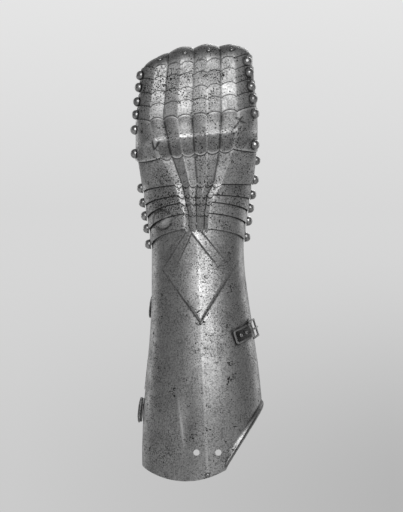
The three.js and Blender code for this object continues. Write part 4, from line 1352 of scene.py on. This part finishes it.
def narrowed(piece, quarter):
    """Files the outer side of a hinge away towards both its ends."""
    for vertex in piece.data.vertices:
        if vertex.co.x > 0:
            vertex.co.x *= 1 - end_narrowing * smooth(abs(vertex.co.z), quarter, quarter * 2)


def iron(piece, stand, degrees, body, node):
    """Stands a finished iron piece in its place and fits it to its body."""
    piece.data.transform(stand)
    shaded(piece, degrees)
    fitted(piece, dark_steel, body, "dark_steel", node)


hinge_names = ("lower_hinge", "upper_hinge")
for name, (place, out), length in zip(hinge_names, hinge_places, hinge_lengths):
    stand = stood(place, out, hinge_axis)
    half = length / 2
    quarter = half / 2
    outer_spans = [(-half, -quarter - clearance), (quarter + clearance, half)]
    for side, sign, spans in (("cuff", 1, outer_spans), ("palm", -1, [(-quarter, quarter)])):
        under = -knuckle_radius - (palm_step if side == "cuff" else 0)
        over = under + leaf_thickness
        start = 0 if side == "cuff" else knuckle_radius + clearance
        ends = sorted((sign * start, sign * (start + leaf_width)))
        leaf = block(f"{name}_{side}", (under, ends[0], -half), (over, ends[1], half), leaf_round)
        web_ends = sorted((0, sign * (start + leaf_thickness)))
        for low, high in spans:
            web_foot = (under + leaf_round / 2, web_ends[0], low)
            web = block("web", web_foot, (-knuckle_radius / 3, web_ends[1], high))
            welded(leaf, web, tube("knuckle", knuckle_radius, pin_bore, low, high))
        for end in (-1, 1):
            stud = drawn_out("stud", stud_rings, 20)
            across = sign * (start + leaf_width - leaf_rivet_inset)
            at = (over - leaf_round / 2, across, end * (half - leaf_rivet_inset))
            stud.data.transform(Matrix.Translation(at) @ Matrix.Rotation(pi / 2, 4, "Y"))
            welded(leaf, stud)
        narrowed(leaf, quarter)
        iron(leaf, stand, 35, "cuff" if side == "cuff" else "palm_plate", f"{name}_{side}_leaf")
    head = knuckle_radius * 0.8
    end = half + clearance
    rings = [(head * 0.6, -end - leaf_thickness), (head, -end - leaf_thickness * 0.5)]
    rings += [(head, -end), (pin_radius, -end)]
    rings += [(radius, -height) for radius, height in reversed(rings)]
    pin = drawn_out(f"{name}_rod", rings, 24)
    narrowed(pin, quarter)
    iron(pin, stand, 40, "cuff", f"{name}_pin")

# Buckle
# A dark iron buckle on the thumb side of the cuff. Its plate has a raised border and two
# rivets, and folds round the bar on which the loop and the tongue swing.
buckle_fall = radians(15)
chape_thickness = 1.2 * mm
chape_rim = 1.8 * mm
chape_recess = 0.7 * mm
chape_corner = 2.6 * mm
buckle_bar = 1.6 * mm
eye_wall = 0.9 * mm
loop_reach = 12 * mm
loop_rim = 2.2 * mm
tongue_width = 2.2 * mm
tongue_thickness = 1 * mm
tongue_taper = 0.6
blade_round = 0.3 * mm
iron_round = 0.5 * mm
bar_x = chape_length / 2 + buckle_bar / 2
bar_z = clearance + chape_thickness / 2
eye_bore = buckle_bar / sqrt(2) + clearance
eye_radius = eye_bore + eye_wall
bar_stand = buckle_stand @ Matrix.Translation((bar_x, 0, bar_z))
fall_stand = bar_stand @ Matrix.Rotation(buckle_fall, 4, "Y")
half = chape_width / 2
top = clearance + chape_thickness
chape = block("chape", (-chape_length / 2, -half, 0), (bar_x, half, top))


def outer_corner(side):
    ends = [chape.data.vertices[i].co for i in side.vertices]
    return ends[0].x < 0 and (ends[0] - ends[1]).xy.length < edge_round


with editing(chape, outer_corner, "edges"):
    bpy.ops.mesh.bevel(offset=chape_corner, segments=5, affect="EDGES")
with editing(chape, lambda face: face.normal.z > 0.9):
    bpy.ops.mesh.inset(thickness=chape_rim)
    extruded(-chape_recess)
eased(chape, iron_round, 3)
# A painted highlight on the plate's border and sides, and painted shade on the floor of its recess.
worn_and_lit = chape.data.attributes.new("wear_and_light", "FLOAT", "POINT")
for vertex, value in zip(chape.data.vertices, worn_and_lit.data):
    inside = vertex.normal.z > 0.5 and vertex.co.z < top - chape_recess / 2
    value.value = -1 if inside else 1
eye = tube("eye", eye_radius, eye_bore, -half, half)
eye.data.transform(Matrix.Translation((bar_x, 0, bar_z)) @ Matrix.Rotation(pi / 2, 4, "X"))
welded(chape, eye)
slot = tongue_width / 2 + clearance
slot_start = (bar_x - eye_radius - clearance, -slot, -top)
combine(chape, block("slot", slot_start, (chape_length, slot, top * 3)), "DIFFERENCE")
iron(chape, buckle_stand, 35, "cuff", "buckle_chape")

inner = chape_width / 2 + clearance
outer = inner + loop_rim
thick = buckle_bar / 2
loop = block("loop", (-thick, -outer, -thick), (loop_reach, outer, thick))
gap = block("gap", (thick, -inner, -buckle_bar), (loop_reach - loop_rim, inner, buckle_bar))
combine(loop, gap, "DIFFERENCE")
eased(loop, iron_round, 3)
iron(loop, fall_stand, 45, "buckle_loop", "buckle_loop")

low = buckle_bar / 2 + clearance
tongue_eye = tube("tongue", eye_radius, eye_bore, -tongue_width / 2, tongue_width / 2)
tongue_eye.data.transform(Matrix.Rotation(pi / 2, 4, "X"))
blade_end = (loop_reach + loop_rim / 4, tongue_width / 2, low + tongue_thickness)
blade = block("blade", (eye_bore, -tongue_width / 2, low), blade_end, blade_round)
for vertex in blade.data.vertices:
    vertex.co.y *= lerp(1, tongue_taper, vertex.co.x / loop_reach)
iron(welded(tongue_eye, blade), fall_stand, 40, "buckle_tongue", "buckle_tongue")

# Strap
# A band of thick brown leather, riveted under its top end to the palm plate and hanging loose
# from it, with a rounded end and a row of punched holes for the buckle's tongue.
strap_width = 11 * mm
strap_length = 76 * mm
strap_thickness = 2.2 * mm
strap_angle = radians(122)
strap_top = 161 * mm
strap_hole_radius = 1.2 * mm
strap_hole_spacing = 9 * mm
strap_first_hole = 12 * mm
strap_round = 0.4 * mm
strap_crown = 0.35 * mm
crease_depth = 0.25 * mm
crease_place = 0.72
crease_spread = 0.06
patch_size = 9 * mm
grain_size = 0.7 * mm
hide_dark = (0.035, 0.018, 0.009, 1)
hide_light = (0.12, 0.062, 0.03, 1)
strap_out = palm_step + clearance + strap_thickness
strap_half_angle = strap_width / 2 / cuff_height


def strap_point(side, share):
    from_end = min(share * strap_length, strap_width / 2)
    half_share = sqrt(clamp(1 - (1 - from_end / (strap_width / 2)) ** 2, 0.04, 1))
    groove = crease_depth * exp(-(((abs(side) - crease_place) / crease_spread) ** 2))
    crown = strap_crown * (1 - side**4)
    angle = strap_angle + side * half_share * strap_half_angle
    return arm_point(strap_top - strap_length * (1 - share), angle, strap_out + crown - groove)


def hide(name):
    """Old brown leather on Object coordinates: a fine pebbled grain, rubbed lighter in patches."""
    material, tree, shader = fresh_material(name)
    place = wired(tree, "TexCoord", "Object", {})
    noises = {"Vector": place, "Scale": 1 / patch_size, "Detail": 5}
    patches = wired(tree, "TexNoise", "Fac", noises)
    grain = wired(tree, "TexVoronoi", "Distance", {"Vector": place, "Scale": 1 / grain_size})
    colours = {"Factor": patches, 6: hide_dark, 7: hide_light}
    colour = wired(tree, "Mix", 2, colours, data_type="RGBA")
    rough = ramped(tree, patches, 0.0, 1.0, 0.5, 0.75)
    bump = bumped(tree, grain, 0.4)
    feed(tree, shader, {"Base Color": colour, "Roughness": rough, "Normal": bump})
    return material


leather = hide("strap_hide")
strap_grid = (steps((-1.0, 44), (1.0, 0)), steps((0.0, 24), (0.08, 150), (1.0, 0)))
strap_sizes = {"thickness": strap_thickness, "rim": strap_round}
strap = sheet("strap_leather", strap_point, *strap_grid, ["strap_rivet"], **strap_sizes)
for i in range(4):
    z = strap_top - strap_length + strap_first_hole + i * strap_hole_spacing
    place = arm_point(z, strap_angle, strap_out)
    punch = rod("punch", 28, strap_hole_radius, strap_thickness * 4)
    round_arm = arm_point(z, strap_angle + normal_step, strap_out) - place
    punch.data.transform(standing(place, round_arm.cross(Vector((0, 0, 1))).normalized()))
    combine(strap, punch, "DIFFERENCE")
fitted(strap, leather, "palm_plate", "strap_leather", "strap")

# Floor, backdrop, light and camera
# A pale floor that sweeps up into a backdrop, which is lighter at the top. The light is soft,
# from the front and above, with a weaker lamp behind each side and one behind the top.
backdrop_distance = 2.6
floor_height = -0.5
sweep_radius = 0.3
stage_half_width = 4.0
stage_front = -3.0
stage_top = 3.0
background_top = 0.783
background_middle = 0.68
background_low_left = 0.597
background_low_right = 0.462
background_left = -0.47
background_right = 0.48
gradient_foot = -0.431
gradient_turn = 0.344
gradient_top = 0.881
room_light = 0.13
paper_grey = (0.6, 0.6, 0.6, 1)
target = (0, 0, 0.22)


def stage_material(name):
    """Grey paper that shows the camera and reflections a plain gradient."""
    material, tree, shader = fresh_material(name)
    feed(tree, shader, {"Roughness": 0.9, "Base Color": paper_grey})
    place = wired(tree, "TexCoord", "Object", {})
    parts = wired(tree, "SeparateXYZ", "X", {"Vector": place}).node.outputs
    across = ramped(tree, parts["X"], background_left, background_right)
    low = ramped(tree, across, 0.0, 1.0, background_low_left, background_low_right)
    eased_rise = (parts["Z"], gradient_foot, gradient_turn, low, background_middle)
    low = ramped(tree, *eased_rise, interpolation_type="SMOOTHSTEP")
    rise = background_top - background_middle
    high = ramped(tree, parts["Z"], gradient_turn, gradient_top, 0.0, rise)
    grey = wired(tree, "Math", "Value", {0: low, 1: high})
    glow = wired(tree, "Emission", "Emission", {"Color": grey})
    rays = wired(tree, "LightPath", "Is Camera Ray", {}).node.outputs
    seen = {0: rays["Is Camera Ray"], 1: rays["Is Glossy Ray"]}
    seen = wired(tree, "Math", "Value", seen, operation="MAXIMUM")
    paper = tree.nodes["Principled BSDF"].outputs["BSDF"]
    surface = wired(tree, "MixShader", "Shader", {"Fac": seen, 1: paper, 2: glow})
    feed(tree, tree.nodes["Material Output"].inputs, {"Surface": surface})
    return material


grid = {"x_subdivisions": 2, "y_subdivisions": 60, "size": 2}
backdrop = added("backdrop", bpy.ops.mesh.primitive_grid_add, **grid)
floor_run = backdrop_distance - sweep_radius - stage_front
arc_run = sweep_radius * pi / 2
wall_run = stage_top - floor_height - sweep_radius
for vertex in backdrop.data.vertices:
    run = (vertex.co.y + 1) / 2 * (floor_run + arc_run + wall_run)
    turn = clamp((run - floor_run) / sweep_radius, 0, pi / 2)
    y = stage_front + min(run, floor_run) + sweep_radius * sin(turn)
    z = floor_height + sweep_radius * (1 - cos(turn)) + max(0, run - floor_run - arc_run)
    vertex.co = Vector((vertex.co.x * stage_half_width, y, z))
bpy.ops.object.shade_smooth()
backdrop.data.materials.append(stage_material("backdrop_paper"))

world = bpy.data.worlds.new("studio")
bpy.context.scene.world = world
world.use_nodes = True
tree = world.node_tree
camera_ray = wired(tree, "LightPath", "Is Camera Ray", {})
levels = {0: camera_ray, 1: background_middle - room_light, 2: room_light}
brightness = wired(tree, "Math", "Value", levels, operation="MULTIPLY_ADD")
feed(tree, tree.nodes["Background"].inputs, {"Color": brightness, "Strength": 1})


def lamp(name, place, size, power):
    data = bpy.data.lights.new(name, "AREA")
    data.shape = "RECTANGLE"
    data.size, data.size_y = size
    data.energy = power
    light = bpy.data.objects.new(name, data)
    light.location = place
    light.rotation_euler = (Vector(target) - Vector(place)).to_track_quat("-Z", "Y").to_euler()
    bpy.context.collection.objects.link(light)


lamp("key", (0.3, -1.8, 1.0), (1.1, 0.9), 25)
lamp("thumb_side", (1.9, 1.4, 0.6), (0.8, 1.2), 5)
lamp("hinge_side", (-1.9, 1.4, 0.6), (0.8, 1.2), 5)
lamp("back", (0.5, 1.9, 1.5), (1.0, 1.0), 14)

camera_data = bpy.data.cameras.new("camera")
camera_data.lens = 120
camera_data.sensor_fit = "VERTICAL"
camera_data.sensor_height = 36
camera = bpy.data.objects.new("camera", camera_data)
camera.location = (0.0035, -1.752, 0.225)
camera.rotation_euler = (pi / 2, 0, 0)
bpy.context.collection.objects.link(camera)
bpy.context.scene.camera = camera
bpy.context.scene.view_settings.view_transform = "Standard"
